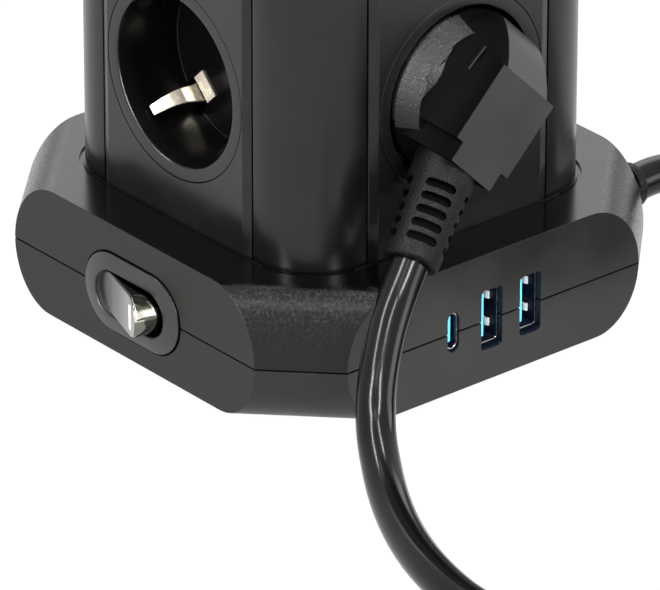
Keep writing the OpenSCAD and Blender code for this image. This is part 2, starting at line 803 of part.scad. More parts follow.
module riser_wire(index, at, z, ring_z) {
    x = block_x0 + block_lift + index * wire_step;
    wire([[x, block_y1, z], [x, at[1], z], [at[0], at[1], z], [at[0], at[1], ring_z]]);
}

module core_wire(side, z) {
    wire([[sheath_end_x, -gland_at + side * core_pitch, z], [block_x1, -gland_at + side * core_pitch, z]]);
}

module inner_wires() {
    color(lead_black)
        wire([[base_half - shell_t - gland_flange_t, -gland_at, seam_z], [sheath_end_x, -gland_at, seam_z]], lead_d / 2);
    color([0.45, 0.25, 0.12]) {
        core_wire(-1, wire_z[1]);
        riser_wire(0, live_wire, wire_z[2], live_ring_z);
        switch_wire(block_y1 - wire_side, wire_z[1], -1, wire_back);
    }
    color([0.15, 0.3, 0.6]) {
        core_wire(0, wire_z[2]);
        riser_wire(1, neutral_wire, wire_z[1], neutral_ring_z);
        switch_wire(block_y1 - wire_r - slip, wire_z[0], 1, wire_back + wire_step);
    }
    color([0.4, 0.6, 0.2]) {
        core_wire(1, wire_z[1]);
        riser_wire(2, earth_wire, wire_z[0], earth_ring_z);
    }
    for (i = [0, 1]) color([0.7, 0.1, 0.1]) {
        y = block_y0 + wire_step * (i + 0.5);
        wire([[block_x0, y, wire_z[1]], [board_x1 - wire_step, y, wire_z[1]], [board_x1 - wire_step, y, board_top]]);
    }
}

// Column: outline, corner posts, panels, cap and screws
module column_outline(grow) {
    rounded(2 * (post_half + grow), 2 * (post_half + grow), post_r + grow);
}

module post_section() {
    reach = panel_half_w + panel_gap / 2;
    tongue_y = post_half - rim_t - slip - tongue_depth;
    tongue_w = tongue_in + tongue_reach_share * post_flat;
    difference() {
        union() {
            intersection() {
                difference() {
                    column_outline(0);
                    column_outline(-post_t);
                }
                translate([reach, reach]) square(base_w);
            }
            translate([panel_half_w - tongue_in, tongue_y]) square([tongue_w, tongue_depth]);
            translate([tongue_y, panel_half_w - tongue_in]) square([tongue_depth, tongue_w]);
            translate([post_screw_at, post_screw_at]) circle(r = column_boss_r);
            rotate([0, 0, 45]) translate([post_screw_at * sqrt(2), -web_w / 2])
                square([(post_half - post_r) * sqrt(2) + post_r - post_t / 2 - post_screw_at * sqrt(2), web_w]);
        }
        translate([post_screw_at, post_screw_at]) circle(r = pilot_r + slip);
    }
}

module corner_posts() {
    color(shell_black) for (turn = SIDES) rotate([0, 0, turn])
        translate([0, 0, base_top]) linear_extrude(height = column_h) post_section();
}

module panel(turn) {
    edge = panel_half_w - panel_gap / 2;
    step = panel_half_w - tongue_in - free;
    color(shell_black) difference() {
        rotate([0, 0, turn]) translate([0, 0, base_top]) linear_extrude(height = column_h)
            polygon([
                [-edge, -post_half], [-field_half_w, -panel_y], [field_half_w, -panel_y], [edge, -post_half],
                [edge, -post_half + rim_t], [step, -post_half + rim_t],
                [step, -panel_y + panel_t], [-step, -panel_y + panel_t],
                [-step, -post_half + rim_t], [-edge, -post_half + rim_t]]);
        for (row = [LOW, HIGH]) at_socket(turn, row) {
            translate([0, 0, -panel_t - over]) cylinder(h = panel_t + 2 * over, r = cup_r + slip, $fn = 96);
            translate([0, 0, -flange_t]) cylinder(h = flange_t + over, r = flange_r + slip, $fn = 96);
        }
    }
}

module cap_slice(inset, z, h) {
    translate([0, 0, z]) linear_extrude(height = h) rounded(
        2 * (post_half - inset), 2 * (post_half - inset), post_r - inset);
}

module top_cap() {
    color(shell_black) difference() {
        hull() {
            cap_slice(0, column_top, cap_h - cap_bevel);
            cap_slice(cap_bevel, part_top - slip, slip);
        }
        difference() {
            cap_slice(cap_bevel, column_top - over, cap_h - cap_t + over);
            translate([0, 0, column_top]) at_corners(post_screw_at) cylinder(h = cap_h, r = column_boss_r);
        }
        translate([0, 0, column_top - over]) at_corners(post_screw_at) {
            cylinder(h = cap_h + 2 * over, r = screw_r + slip);
            translate([0, 0, cap_h + over - head_h]) cylinder(h = head_h + over, r = head_r + slip);
        }
    }
}

module column_screws() {
    color(steel) {
        translate([0, 0, part_top - head_h]) at_corners(post_screw_at) {
            cylinder(h = head_h - slip, r = head_r);
            translate([0, 0, -column_screw_l - cap_h / 2]) cylinder(h = column_screw_l + cap_h / 2, r = pilot_r);
        }
        translate([0, 0, roof_under - head_h]) at_corners(post_screw_at) {
            cylinder(h = head_h, r = head_r);
            cylinder(h = column_screw_l, r = pilot_r);
        }
    }
}

// Rails: an insulating carrier, live and neutral with their sleeves, earth
module rail_carrier() {
    top = socket_z[HIGH] + pin_pitch;
    color([0.8, 0.8, 0.76]) difference() {
        union() {
            translate([-carrier_foot_half, -carrier_foot_half, base_top])
                cube([2 * carrier_foot_half, 2 * carrier_foot_half, carrier_foot_t]);
            translate([-carrier_half_w, -carrier_half_w, base_top])
                cube([2 * carrier_half_w, 2 * carrier_half_w, top - base_top]);
        }
        translate([-carrier_bore_half, -carrier_bore_half, base_top - over])
            cube([2 * carrier_bore_half, 2 * carrier_bore_half, top - base_top + 2 * over]);
        for (at = [live_wire, neutral_wire, earth_wire])
            translate([at[0], at[1], base_top - over]) cylinder(h = carrier_foot_t + 2 * over, r = wire_r + free);
    }
}

module pole_rail(side, ring_z) {
    top = socket_z[HIGH] + side * rail_at + rail_w / 2;
    difference() {
        union() {
            translate([0, 0, ring_z]) linear_extrude(height = rail_t) difference() {
                square(2 * ring_out, center = true);
                square(2 * carrier_half_w, center = true);
            }
            for (turn = SIDES) on_face(turn, rail_inner) {
                translate([-side * rail_at - rail_w / 2, ring_z, 0]) cube([rail_w, top - ring_z, rail_t]);
                translate([-side * rail_at - rail_w / 2, ring_z, ring_out - rail_inner - over])
                    cube([rail_w, rail_t, rail_inner - ring_out + rail_t + over]);
            }
            for (turn = SIDES) for (row = [LOW, HIGH]) at_socket(turn, row)
                translate([-side * rail_at, side * rail_at, -sleeve_d - sleeve_l])
                    cylinder(h = sleeve_l, r = sleeve_bore_r + sleeve_t);
        }
        for (turn = SIDES) for (row = [LOW, HIGH]) at_socket(turn, row)
            translate([-side * rail_at, side * rail_at, -sleeve_d - sleeve_l - over])
                cylinder(h = sleeve_l + 2 * over, r = sleeve_bore_r);
    }
}

module live_rail() {
    color(brass) pole_rail(1, live_ring_z);
}

module neutral_rail() {
    color(brass) {
        pole_rail(-1, neutral_ring_z);
        translate([ring_out - over, -neutral_tab_half, neutral_ring_z])
            cube([neutral_tab_out + over, 2 * neutral_tab_half, rail_t]);
    }
}

module earth_rail() {
    outer = panel_y - layer_rail;
    top = socket_z[HIGH] + clip_w;
    color(brass) {
        translate([0, 0, earth_ring_z]) linear_extrude(height = rail_t) difference() {
            square(2 * outer, center = true);
            square(2 * (outer - earth_ring_w), center = true);
        }
        for (turn = SIDES) on_face(turn, outer - rail_t)
            translate([-earth_rail_w / 2, earth_ring_z, 0]) cube([earth_rail_w, top - earth_ring_z, rail_t]);
    }
}

// Socket: cup with its ribs, holes and pivot, earth clip and shutter
module socket_cup(turn, row) {
    color(gloss_black) at_socket(turn, row) difference() {
        union() {
            translate([0, 0, -flange_t]) cylinder(h = flange_t, r = flange_r, $fn = 96);
            translate([0, 0, -layer_bridge]) cylinder(h = layer_bridge, r = cup_r, $fn = 96);
        }
        difference() {
            translate([0, 0, -recess_d]) cylinder(h = recess_d + over, r = recess_r, $fn = 96);
            for (a = [pin_turn, pin_turn + 180]) rotate([0, 0, a])
                translate([recess_r - rib_rise, -rib_w / 2, -recess_d - over])
                    cube([2 * rib_rise, rib_w, rib_len + over]);
        }
        difference() {
            translate([0, 0, -layer_bridge - over]) cylinder(h = shutter_room + over, r = recess_r, $fn = 96);
            translate([0, 0, -layer_bridge]) cylinder(h = shutter_room, r = pivot_r);
        }
        for (a = [pin_turn, pin_turn + 180]) rotate([0, 0, a])
            translate([pin_pitch / 2, 0, -layer_floor - over]) cylinder(h = floor_t + 2 * over, d = pin_hole_d);
        for (a = [earth_turn, earth_turn + 180]) rotate([0, 0, a])
            translate([recess_r - slot_l, -clip_w / 2 - free, -layer_floor - over])
                cube([slot_l - slip, clip_w + 2 * free, floor_t + 2 * over]);
    }
}

module earth_clip(turn, row) {
    top_r = recess_r - clip_wall_gap - clip_t;
    inner = [
        [top_r, -clip_top_d], [clip_bend_r, -clip_bend_d], [clip_bend_r, -clip_bend_d - clip_bend_l],
        [clip_foot_r, -recess_d], [clip_foot_r, -layer_bridge - clip_t]];
    outer = [for (i = [len(inner) - 1 : -1 : 0]) inner[i] + [clip_t, 0]];
    color(nickel) at_socket(turn, row) for (a = [earth_turn, earth_turn + 180]) rotate([0, 0, a]) {
        rotate([90, 0, 0]) linear_extrude(height = clip_w, center = true) polygon(concat(inner, outer));
        translate([-over, -clip_w / 2, -layer_bridge - clip_t]) cube([clip_foot_r + 2 * over - over / 2, clip_w, clip_t]);
    }
}

module shutter(turn, row, open = 0) {
    color([0.2, 0.2, 0.2]) at_socket(turn, row) rotate([0, 0, pin_turn + open])
        translate([0, 0, -shutter_front - shutter_t]) difference() {
            linear_extrude(height = shutter_t) stadium(pin_pitch + shutter_w, shutter_w);
            translate([0, 0, -over]) cylinder(h = shutter_t + 2 * over, r = pivot_r + run_slip);
        }
}

// Plug: its own frame has X along the lead, Y along the pins, Z out of the panel
module plug_frame() {
    at_socket(FRONT, LOW) rotate([0, 0, earth_turn - 180]) children();
}

module plug_disc(grow) {
    translate([0, 0, plug_face]) cylinder(h = plug_rim + grow - plug_face, r = disc_r + grow, $fn = 96);
    translate([0, 0, plug_rim + grow])
        cylinder(h = shoulder_h, r1 = disc_r + grow, r2 = disc_r + grow - shoulder_in, $fn = 96);
}

function grip_width(t) = grip_half_w + (grip_foot_w - grip_half_w) * pow(1 - t, 2);

function both_sides(half) = concat(half, [for (i = [len(half) - 1 : -1 : 0]) [half[i][0], -half[i][1]]]);

// Grip: hollow side walls, a sloping back and a narrower neck towards the lead
module plug_grip() {
    wall = [for (i = [0 : grip_steps]) [grip_foot_z + (grip_h - grip_foot_z) * i / grip_steps, grip_width(i / grip_steps)]];
    intersection() {
        rotate([90, 0, 0]) linear_extrude(height = 2 * disc_r, center = true)
            polygon([
                [-disc_r + over, plug_rim - over], [-disc_r + over, plug_rim], [-grip_back, grip_h],
                [neck_reach - neck_drop, grip_h], [neck_reach, grip_h - neck_drop], [neck_reach, plug_rim - over]]);
        rotate([0, -90, 0]) linear_extrude(height = 2 * disc_r, center = true)
            polygon(both_sides(concat([[plug_rim - over, grip_foot_w]], wall)));
        linear_extrude(height = grip_h)
            polygon(both_sides(concat(grip_plan, [
                [grip_front, grip_toe_w], [grip_front, neck_half_w], [neck_reach, neck_half_w]])));
    }
}

module plug_body() {
    rib_notch = recess_r - rib_rise - free;
    notch_r = clip_bend_r - free;
    color(lead_black) plug_frame() difference() {
        union() {
            plug_disc(0);
            plug_grip();
        }
        for (s = [0, 180]) rotate([0, 0, 90 + s])
            translate([rib_notch, -rib_w / 2 - free, plug_face - over]) cube([disc_r, rib_w + 2 * free, rib_len + over + free]);
        for (s = [0, 180]) rotate([0, 0, s])
            translate([notch_r - clip_t, -clip_w / 2 - free, plug_face - over])
                cube([disc_r, clip_w + 2 * free, recess_d - clip_top_d / 2 + over]);
        relief_place() translate([0, 0, -over]) cylinder(h = neck_reach, r = relief_r1 / 2);
        for (s = [-1, 1]) translate([0, s * pin_pitch / 2, plug_face - over]) cylinder(h = pin_root + over, d = pin_d);
    }
}

module plug_pins() {
    color(nickel) plug_frame() for (s = [-1, 1])
        translate([0, s * pin_pitch / 2, plug_face]) {
            translate([0, 0, -pin_l + pin_tip]) cylinder(h = pin_l - pin_tip + pin_root, d = pin_d);
            translate([0, 0, -pin_l]) cylinder(h = pin_tip, r1 = pin_d / 2 - pin_tip / 2, r2 = pin_d / 2);
        }
}

module plug_earth_strips() {
    color(nickel) plug_frame() for (s = [0, 180]) rotate([0, 0, s])
        translate([clip_bend_r - free - clip_t, -blade_strip_w / 2, plug_face])
            cube([clip_t, blade_strip_w, recess_d - clip_top_d / 2 - free]);
}

module relief_place() {
    translate([relief_start[0], 0, relief_start[1]]) rotate([0, 90 - relief_tilt, 0]) children();
}

module plug_strain_relief() {
    pitch = relief_l / (relief_slots + 2);
    color(lead_black) plug_frame() {
        difference() {
            intersection() {
                relief_place() translate([0, 0, -relief_r1]) cylinder(h = relief_l + relief_r1, r1 = relief_r1, r2 = relief_r2);
                translate([neck_reach, -disc_r, -disc_r]) cube([2 * relief_l, 2 * disc_r, 3 * disc_r]);
            }
            plug_disc(slip);
            relief_place() for (i = [0 : relief_slots - 1]) translate([0, 0, pitch * (i + 1.5)]) difference() {
                translate([-disc_r, -disc_r, -slot_w / 2]) cube([2 * disc_r, 2 * disc_r, slot_w]);
                cylinder(h = 2 * slot_w, r = relief_r2 - slot_deep + slot_w / 2, center = true);
            }
        }
    }
}

module lead_near() {
    color(lead_black) tube(near_full, lead_d / 2, lead_sides);
}

module lead_coil() {
    color(lead_black) tube(coil_route, lead_d / 2, coil_sides);
}

module lead_far() {
    color(lead_black) tube(far_full, lead_d / 2, lead_sides);
}

base_lower_shell();
base_upper_shell();
rubber_feet();
base_screws();
switch_housing();
switch_rocker();
switch_terminals();
charging_board();
board_parts();
usb_c_shell();
usb_a_shells();
usb_tongues();
lead_gland();
cord_clamp();
clamp_screws();
terminal_block();
inner_wires();
corner_posts();
panel(FRONT);  // panel_front
panel(RIGHT);  // panel_right
panel(BACK);  // panel_back
panel(LEFT);  // panel_left
top_cap();
column_screws();
rail_carrier();
live_rail();
neutral_rail();
earth_rail();
socket_cup(FRONT, LOW);  // cup_front_low
socket_cup(FRONT, HIGH);  // cup_front_high
socket_cup(RIGHT, LOW);  // cup_right_low
socket_cup(RIGHT, HIGH);  // cup_right_high
socket_cup(BACK, LOW);  // cup_back_low
socket_cup(BACK, HIGH);  // cup_back_high
socket_cup(LEFT, LOW);  // cup_left_low
socket_cup(LEFT, HIGH);  // cup_left_high
earth_clip(FRONT, LOW);  // clip_front_low
earth_clip(FRONT, HIGH);  // clip_front_high
earth_clip(RIGHT, LOW);  // clip_right_low
earth_clip(RIGHT, HIGH);  // clip_right_high
earth_clip(BACK, LOW);  // clip_back_low
earth_clip(BACK, HIGH);  // clip_back_high
earth_clip(LEFT, LOW);  // clip_left_low
earth_clip(LEFT, HIGH);  // clip_left_high
shutter(FRONT, LOW, shutter_turn);  // shutter_front_low
shutter(FRONT, HIGH);  // shutter_front_high
shutter(RIGHT, LOW);  // shutter_right_low
shutter(RIGHT, HIGH);  // shutter_right_high
shutter(BACK, LOW);  // shutter_back_low
shutter(BACK, HIGH);  // shutter_back_high
shutter(LEFT, LOW);  // shutter_left_low
shutter(LEFT, HIGH);  // shutter_left_high
plug_body();
plug_pins();
plug_earth_strips();
plug_strain_relief();
lead_near();
lead_coil();
lead_far();
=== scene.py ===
import math

import bmesh
import bpy
from mathutils import Matrix, Vector


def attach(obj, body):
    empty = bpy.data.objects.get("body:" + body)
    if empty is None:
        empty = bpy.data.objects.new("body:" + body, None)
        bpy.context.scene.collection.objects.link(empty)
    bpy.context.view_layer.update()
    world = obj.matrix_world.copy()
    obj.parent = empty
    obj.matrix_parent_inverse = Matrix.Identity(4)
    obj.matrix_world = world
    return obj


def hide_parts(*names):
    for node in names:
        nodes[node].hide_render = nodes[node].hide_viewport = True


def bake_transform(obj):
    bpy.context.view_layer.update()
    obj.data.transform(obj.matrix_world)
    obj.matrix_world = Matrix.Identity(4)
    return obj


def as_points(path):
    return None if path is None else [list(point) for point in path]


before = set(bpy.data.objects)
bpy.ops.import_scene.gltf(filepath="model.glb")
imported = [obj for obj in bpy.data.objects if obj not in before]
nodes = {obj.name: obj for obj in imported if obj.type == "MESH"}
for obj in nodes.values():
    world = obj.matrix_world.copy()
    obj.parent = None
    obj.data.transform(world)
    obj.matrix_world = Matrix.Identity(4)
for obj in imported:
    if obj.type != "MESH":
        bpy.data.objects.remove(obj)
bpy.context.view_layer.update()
scene = bpy.context.scene
MM = 0.001

# Sizes that the solids also have
BASE_HALF = 57.2
CORNER_SUM = 100.0
ROLL_TOP_IN = 10.5
ROLL_BOTTOM_IN = 8.8
BASE_Z = 2.0
SEAM_Z = 16.8
SEAM_GAP = 0.4
BASE_TOP = 33.4
SHELL_T = 2.5
COLUMN_TOP = 163.8
PART_TOP = 176.8
PANEL_OUT = 44.9
POST_HALF = 44.07
POST_R = 16.3
POST_T = 3.0
PANEL_HALF_W = 26.1
FIELD_HALF_W = 23.7
PANEL_GAP = 0.4
RIM_T = 2.589
SOCKET_Z = {"low": 67.6, "high": 129.6}
SIDES = {"front": 0, "right": 90, "back": 180, "left": -90}
RECESS_R = 20.2
RECESS_D = 17.2
CUP_R = 21.4
FLANGE_R = 23.4
FLANGE_T = 2.0
FLOOR_T = 1.8
CUP_BACK = 21.8
PIN_AT = 9.5
PIN_TURN = 135
EARTH_TURN = 45
LEAD_D = 8.8
GLAND_Y = -26.0
GLAND_L = 12.0
ROCKER_TILT = 18
ROCKER_FACE = 5.15
PIVOT_IN = 1.6

# Camera: angles in degrees, its reach in metres
CAM_AZ = -39.892
CAM_EL = 26.659
CAM_ROLL = 0.082
CAM_DISTANCE = 1738.606
CAM_FOCAL_PX = 7625.485
CAM_TARGET = Vector((0.041, -0.035, 0.337))
PHOTO_W = 660
SENSOR_W = 36.0
CAM_REACH = 50


def radians(angle):
    return math.radians(angle)


def cos(angle):
    return math.cos(math.radians(angle))


def sin(angle):
    return math.sin(math.radians(angle))


def direction(az, el):
    return Vector((sin(az) * cos(el), -cos(az) * cos(el), sin(el)))


def make_camera():
    back = direction(CAM_AZ, CAM_EL)
    level = Vector((cos(CAM_AZ), sin(CAM_AZ), 0))
    rise = back.cross(level)
    right = level * cos(CAM_ROLL) + rise * sin(CAM_ROLL)
    up = rise * cos(CAM_ROLL) - level * sin(CAM_ROLL)
    data = bpy.data.cameras.new("camera")
    data.sensor_width = SENSOR_W
    data.lens = CAM_FOCAL_PX * SENSOR_W / PHOTO_W
    data.clip_end = CAM_REACH
    camera = bpy.data.objects.new("camera", data)
    scene.collection.objects.link(camera)
    turn = Matrix((right, up, back)).transposed().to_4x4()
    place = (CAM_TARGET + back * CAM_DISTANCE) * MM
    camera.matrix_world = Matrix.Translation(place) @ turn
    scene.camera = camera


# Meshes: points closer than MERGE become one, large rounds have FINE_STEPS sides
MERGE = 0.002
FINE_STEPS = 128


def new_piece(name, verts, faces):
    mesh = bpy.data.meshes.new(name)
    mesh.from_pydata([Vector(v) * MM for v in verts], [], faces)
    piece = bpy.data.objects.new(name, mesh)
    scene.collection.objects.link(piece)
    tidy_mesh(piece)
    return piece


def tidy_mesh(piece):
    work = bmesh.new()
    work.from_mesh(piece.data)
    bmesh.ops.remove_doubles(work, verts=work.verts, dist=MERGE * MM)
    bmesh.ops.dissolve_degenerate(work, edges=work.edges, dist=MERGE * MM)
    bmesh.ops.recalc_face_normals(work, faces=work.faces)
    work.to_mesh(piece.data)
    work.free()
    piece.data.update()


def stack(rings, caps=(True, True)):
    count = len(rings[0])
    verts = [p for ring in rings for p in ring]
    faces = []
    for i in range(len(rings) - 1):
        for k in range(count):
            a = i * count + k
            b = i * count + (k + 1) % count
            faces.append((a, b, b + count, a + count))
    if caps[0]:
        faces.append(tuple(range(count))[::-1])
    if caps[1]:
        last = (len(rings) - 1) * count
        faces.append(tuple(range(last, last + count)))
    return verts, faces


def prism(outline, z0, z1):
    return stack([[(x, y, z0) for x, y in outline], [(x, y, z1) for x, y in outline]])


def lathe(profile, steps=96):
    verts = []
    faces = []
    rows = []
    for r, z in profile:
        if r < 0.001:
            rows.append([len(verts)])
            verts.append((0, 0, z))
        else:
            rows.append(list(range(len(verts), len(verts) + steps)))
            verts += [(r * cos(360 * k / steps), r * sin(360 * k / steps), z) for k in range(steps)]
    for i, a in enumerate(rows):
        b = rows[(i + 1) % len(rows)]
        if len(a) == 1 and len(b) == 1:
            continue
        for k in range(steps):
            n = (k + 1) % steps
            if len(a) == 1:
                faces.append((a[0], b[n], b[k]))
            elif len(b) == 1:
                faces.append((a[k], a[n], b[0]))
            else:
                faces.append((a[k], a[n], b[n], b[k]))
    return verts, faces


def box(x0, x1, y0, y1, z0, z1):
    return prism([(x0, y0), (x1, y0), (x1, y1), (x0, y1)], z0, z1)


def joined(*parts):
    verts = []
    faces = []
    for part_verts, part_faces in parts:
        start = len(verts)
        verts += list(part_verts)
        faces += [tuple(i + start for i in face) for face in part_faces]
    return verts, faces


def moved(part, matrix):
    return [tuple(matrix @ Vector(v)) for v in part[0]], part[1]


def arc(cx, cy, r, start, end, steps):
    return [
        (cx + r * cos(start + (end - start) * k / steps), cy + r * sin(start + (end - start) * k / steps))
        for k in range(steps + 1)]


def rounded_square(half, r, steps=12):
    return rounded_rect(2 * half, 2 * half, r, steps)


def rounded_rect(w, h, r, steps=6):
    points = []
    r = min(r, w / 2 - 0.05)
    for turn in (0, 90, 180, 270):
        cx = (w / 2 - r) * (1 if turn in (0, 270) else -1)
        cy = (h / 2 - r) * (1 if turn in (0, 90) else -1)
        points += arc(cx, cy, r, turn, turn + 90, steps)
    return points


def stadium(l, w, steps=20):
    half = max((l - w) / 2, 0)
    r = w / 2
    return arc(half, 0, r, -90, 90, steps) + arc(-half, 0, r, 90, 270, steps)


def ring_at(outline, z):
    return [(x, y, z) for x, y in outline]


# Frames: a face of the column seen from outside, a socket on it, the plug
def in_metres(matrix):
    return Matrix.Scale(MM, 4) @ matrix @ Matrix.Scale(1 / MM, 4)


def turn_z(angle):
    return Matrix.Rotation(radians(angle), 4, "Z")


def turn_y(angle):
    return Matrix.Rotation(radians(angle), 4, "Y")


def shift(x, y, z):
    return Matrix.Translation(Vector((x, y, z)))


def on_face(side, out, up=0.0):
    return turn_z(SIDES[side]) @ Matrix.Rotation(radians(90), 4, "X") @ shift(0, up, out)


def at_socket(side, row):
    return on_face(side, PANEL_OUT, SOCKET_Z[row])


PLUG = at_socket("front", "low") @ turn_z(-135)
RELIEF = PLUG @ shift(18, 0, 9) @ turn_y(90 - 17)
GLAND = shift(BASE_HALF, GLAND_Y, SEAM_Z) @ turn_y(90)
ROCKER = shift(PIVOT_IN - BASE_HALF, 0, SEAM_Z) @ turn_z(-ROCKER_TILT) @ turn_z(-90)
ROCKER = ROCKER @ Matrix.Rotation(radians(90), 4, "X")


def drop(piece):
    mesh = piece.data
    bpy.data.objects.remove(piece)
    bpy.data.meshes.remove(mesh)


def copied(source, name, matrix):
    mesh = source.data.copy()
    mesh.transform(matrix)
    piece = bpy.data.objects.new(name, mesh)
    scene.collection.objects.link(piece)
    return piece


# Modifiers, applied at once
def apply_modifier(piece, kind, **values):
    modifier = piece.modifiers.new(kind.lower(), kind)
    for key, value in values.items():
        setattr(modifier, key, value)
    graph = bpy.context.evaluated_depsgraph_get()
    mesh = bpy.data.meshes.new_from_object(piece.evaluated_get(graph))
    piece.modifiers.clear()
    old = piece.data
    piece.data = mesh
    bpy.data.meshes.remove(old)


def combine(piece, part, operation="DIFFERENCE"):
    tool = new_piece("tool", *part)
    apply_modifier(piece, "BOOLEAN", object=tool, operation=operation, solver="EXACT")
    drop(tool)


def bevel(piece, width, segments=2, angle=30):
    tidy_mesh(piece)
    apply_modifier(
        piece, "BEVEL", width=width * MM, segments=segments, limit_method="ANGLE",
        angle_limit=radians(angle), miter_outer="MITER_ARC", use_clamp_overlap=True)


def smooth(piece, angle=35):
    piece.data.shade_smooth()
    piece.data.set_sharp_from_angle(angle=radians(angle))
    apply_modifier(piece, "WEIGHTED_NORMAL", keep_sharp=True, weight=80)


# The last touches on a piece: pick gives a face the number of its material
def settle(piece, body, slot, *materials, replaces=(), angle=35, pick=None):
    piece.data.materials.clear()
    for one in materials:
        piece.data.materials.append(one)
    if pick:
        for face in piece.data.polygons:
            face.material_index = pick(face)
    smooth(piece, angle)
    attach(piece, body)
    if replaces:
        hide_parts(*replaces)
    return piece


# Materials: colours are linear, scales are per metre, shade is an axis with (mm, tone) stops that paint light
# and shade into the colour, and glow makes a colour shine as painted light.
# A noise has most of its values between the two limits.
CLOUD_LOW = 0.3
CLOUD_HIGH = 0.7


def empty_tree(holder):
    holder.use_nodes = True
    tree = holder.node_tree
    tree.nodes.clear()
    return tree.nodes.new, tree.links.new


def material(name, color, rough, metal=0.0, specular=0.5, mottle=0.12, mottle_scale=70.0,
             rough_span=0.05, grain=0.0, grain_scale=2200.0, grain_depth=0.03, sparkle=0.0,
             shade=None, glow=0.0):
    made = bpy.data.materials.new(name)
    add, link = empty_tree(made)

    def noise(scale, detail, vector):
        node = add("ShaderNodeTexNoise")
        node.inputs["Scale"].default_value = scale
        node.inputs["Detail"].default_value = detail
        link(vector, node.inputs["Vector"])
        return node.outputs["Fac"]
    out = add("ShaderNodeOutputMaterial")
    shader = add("ShaderNodeBsdfPrincipled")
    link(shader.outputs["BSDF"], out.inputs["Surface"])
    shader.inputs["Metallic"].default_value = metal
    shader.inputs["Specular IOR Level"].default_value = specular
    # Painted light: the colour shines by itself
    if glow:
        shader.inputs["Emission Color"].default_value = (*color, 1)
        shader.inputs["Emission Strength"].default_value = glow
    coords = add("ShaderNodeTexCoord")
    place = add("ShaderNodeMapping")
    link(coords.outputs["Object"], place.inputs["Vector"])
    cloud = noise(mottle_scale, 3.0, place.outputs["Vector"])
    tint = add("ShaderNodeValToRGB")
    ends = tint.color_ramp.elements
    ends[0].position = CLOUD_LOW
    ends[1].position = CLOUD_HIGH
    ends[0].color = (*[c * (1 - mottle) for c in color], 1)
    ends[1].color = (*[min(c * (1 + mottle), 1) for c in color], 1)
    link(cloud, tint.inputs["Fac"])
    # Painted light and shade: the colour is multiplied by tones along an object axis
    if shade:
        axis, stops = shade
        split = add("ShaderNodeSeparateXYZ")
        link(coords.outputs["Object"], split.inputs["Vector"])
        reach = add("ShaderNodeMapRange")
        reach.inputs["From Min"].default_value = stops[0][0] * MM
        reach.inputs["From Max"].default_value = stops[-1][0] * MM
        link(split.outputs[axis], reach.inputs["Value"])
        tone = add("ShaderNodeValToRGB")
        marks = tone.color_ramp.elements
        while len(marks) < len(stops):
            marks.new(0.5)
        for mark, (at, value) in zip(marks, stops):
            mark.position = (at - stops[0][0]) / (stops[-1][0] - stops[0][0])
            mark.color = (value, value, value, 1)
        link(reach.outputs["Result"], tone.inputs["Fac"])
        blend = add("ShaderNodeMix")
        blend.data_type = "RGBA"
        blend.blend_type = "MULTIPLY"
        blend.inputs["Factor"].default_value = 1.0
        link(tint.outputs["Color"], blend.inputs["A"])
        link(tone.outputs["Color"], blend.inputs["B"])
        link(blend.outputs["Result"], shader.inputs["Base Color"])
    else:
        link(tint.outputs["Color"], shader.inputs["Base Color"])
    span = add("ShaderNodeMapRange")
    span.inputs["From Min"].default_value = CLOUD_LOW
    span.inputs["From Max"].default_value = CLOUD_HIGH
    span.inputs["To Min"].default_value = max(rough - rough_span, 0.02)
    span.inputs["To Max"].default_value = rough + rough_span
    speckle = noise(grain_scale * sparkle, 1.0, coords.outputs["Object"]) if sparkle else cloud
    link(speckle, span.inputs["Value"])
    link(span.outputs["Result"], shader.inputs["Roughness"])
    if grain:
        bump = add("ShaderNodeBump")
        bump.inputs["Strength"].default_value = grain
        bump.inputs["Distance"].default_value = grain_depth * MM
        link(noise(grain_scale, 2.0, place.outputs["Vector"]), bump.inputs["Height"])
        link(bump.outputs["Normal"], shader.inputs["Normal"])
    return made


SMOOTH_BLACK = material(
    "smooth_black", (0.0050, 0.0049, 0.0044), 0.34, specular=0.28, grain=0.25, grain_scale=900,
    grain_depth=0.02)
# Front faces: the same smooth black, lighter and more reflective as painted light
FRONT_PAINTED_LIGHT = material(
    "front_painted_light", (0.0068, 0.0067, 0.0060), 0.34, specular=0.50, grain=0.25, grain_scale=900,
    grain_depth=0.02)
LOWER_BLACK = material(
    "lower_black", (0.0040, 0.0039, 0.0036), 0.38, specular=0.42, grain=0.3, grain_scale=1100,
    grain_depth=0.02)
GRAIN_BLACK = material(
    "grain_black", (0.0022, 0.0021, 0.0019), 0.24, specular=0.32, grain=0.8, grain_scale=2400,
    grain_depth=0.06, sparkle=0.6, rough_span=0.1)
# Ledge: the grained black made much darker and less reflective on the top faces, as painted shade
LEDGE_PAINTED_SHADE = material(
    "ledge_painted_shade", (0.0008, 0.0008, 0.0007), 0.17, specular=0.22, grain=0.4, grain_scale=2400,
    grain_depth=0.03, rough_span=0.04)
POST_BLACK = material(
    "post_black", (0.0022, 0.0021, 0.0019), 0.26, specular=0.40, grain=0.4, grain_scale=2400,
    grain_depth=0.035, rough_span=0.02)
PANEL_BLACK = material(
    "panel_black", (0.0035, 0.0034, 0.0033), 0.25, specular=0.47, grain=0.2, grain_scale=900,
    grain_depth=0.02)
PANEL_RIM = material(
    "panel_rim", (0.0030, 0.0029, 0.0028), 0.28, specular=0.34, grain=0.2, grain_scale=900,
    grain_depth=0.02)
GLOSS_BLACK = material(
    "gloss_black", (0.0018, 0.0018, 0.0020), 0.24, specular=0.16, rough_span=0.04, grain=0.1,
    grain_scale=120, grain_depth=0.02)
BEZEL_GREY = material(
    "bezel_grey", (0.013, 0.0135, 0.014), 0.34, specular=0.45, grain=0.2, grain_scale=1500,
    grain_depth=0.02)
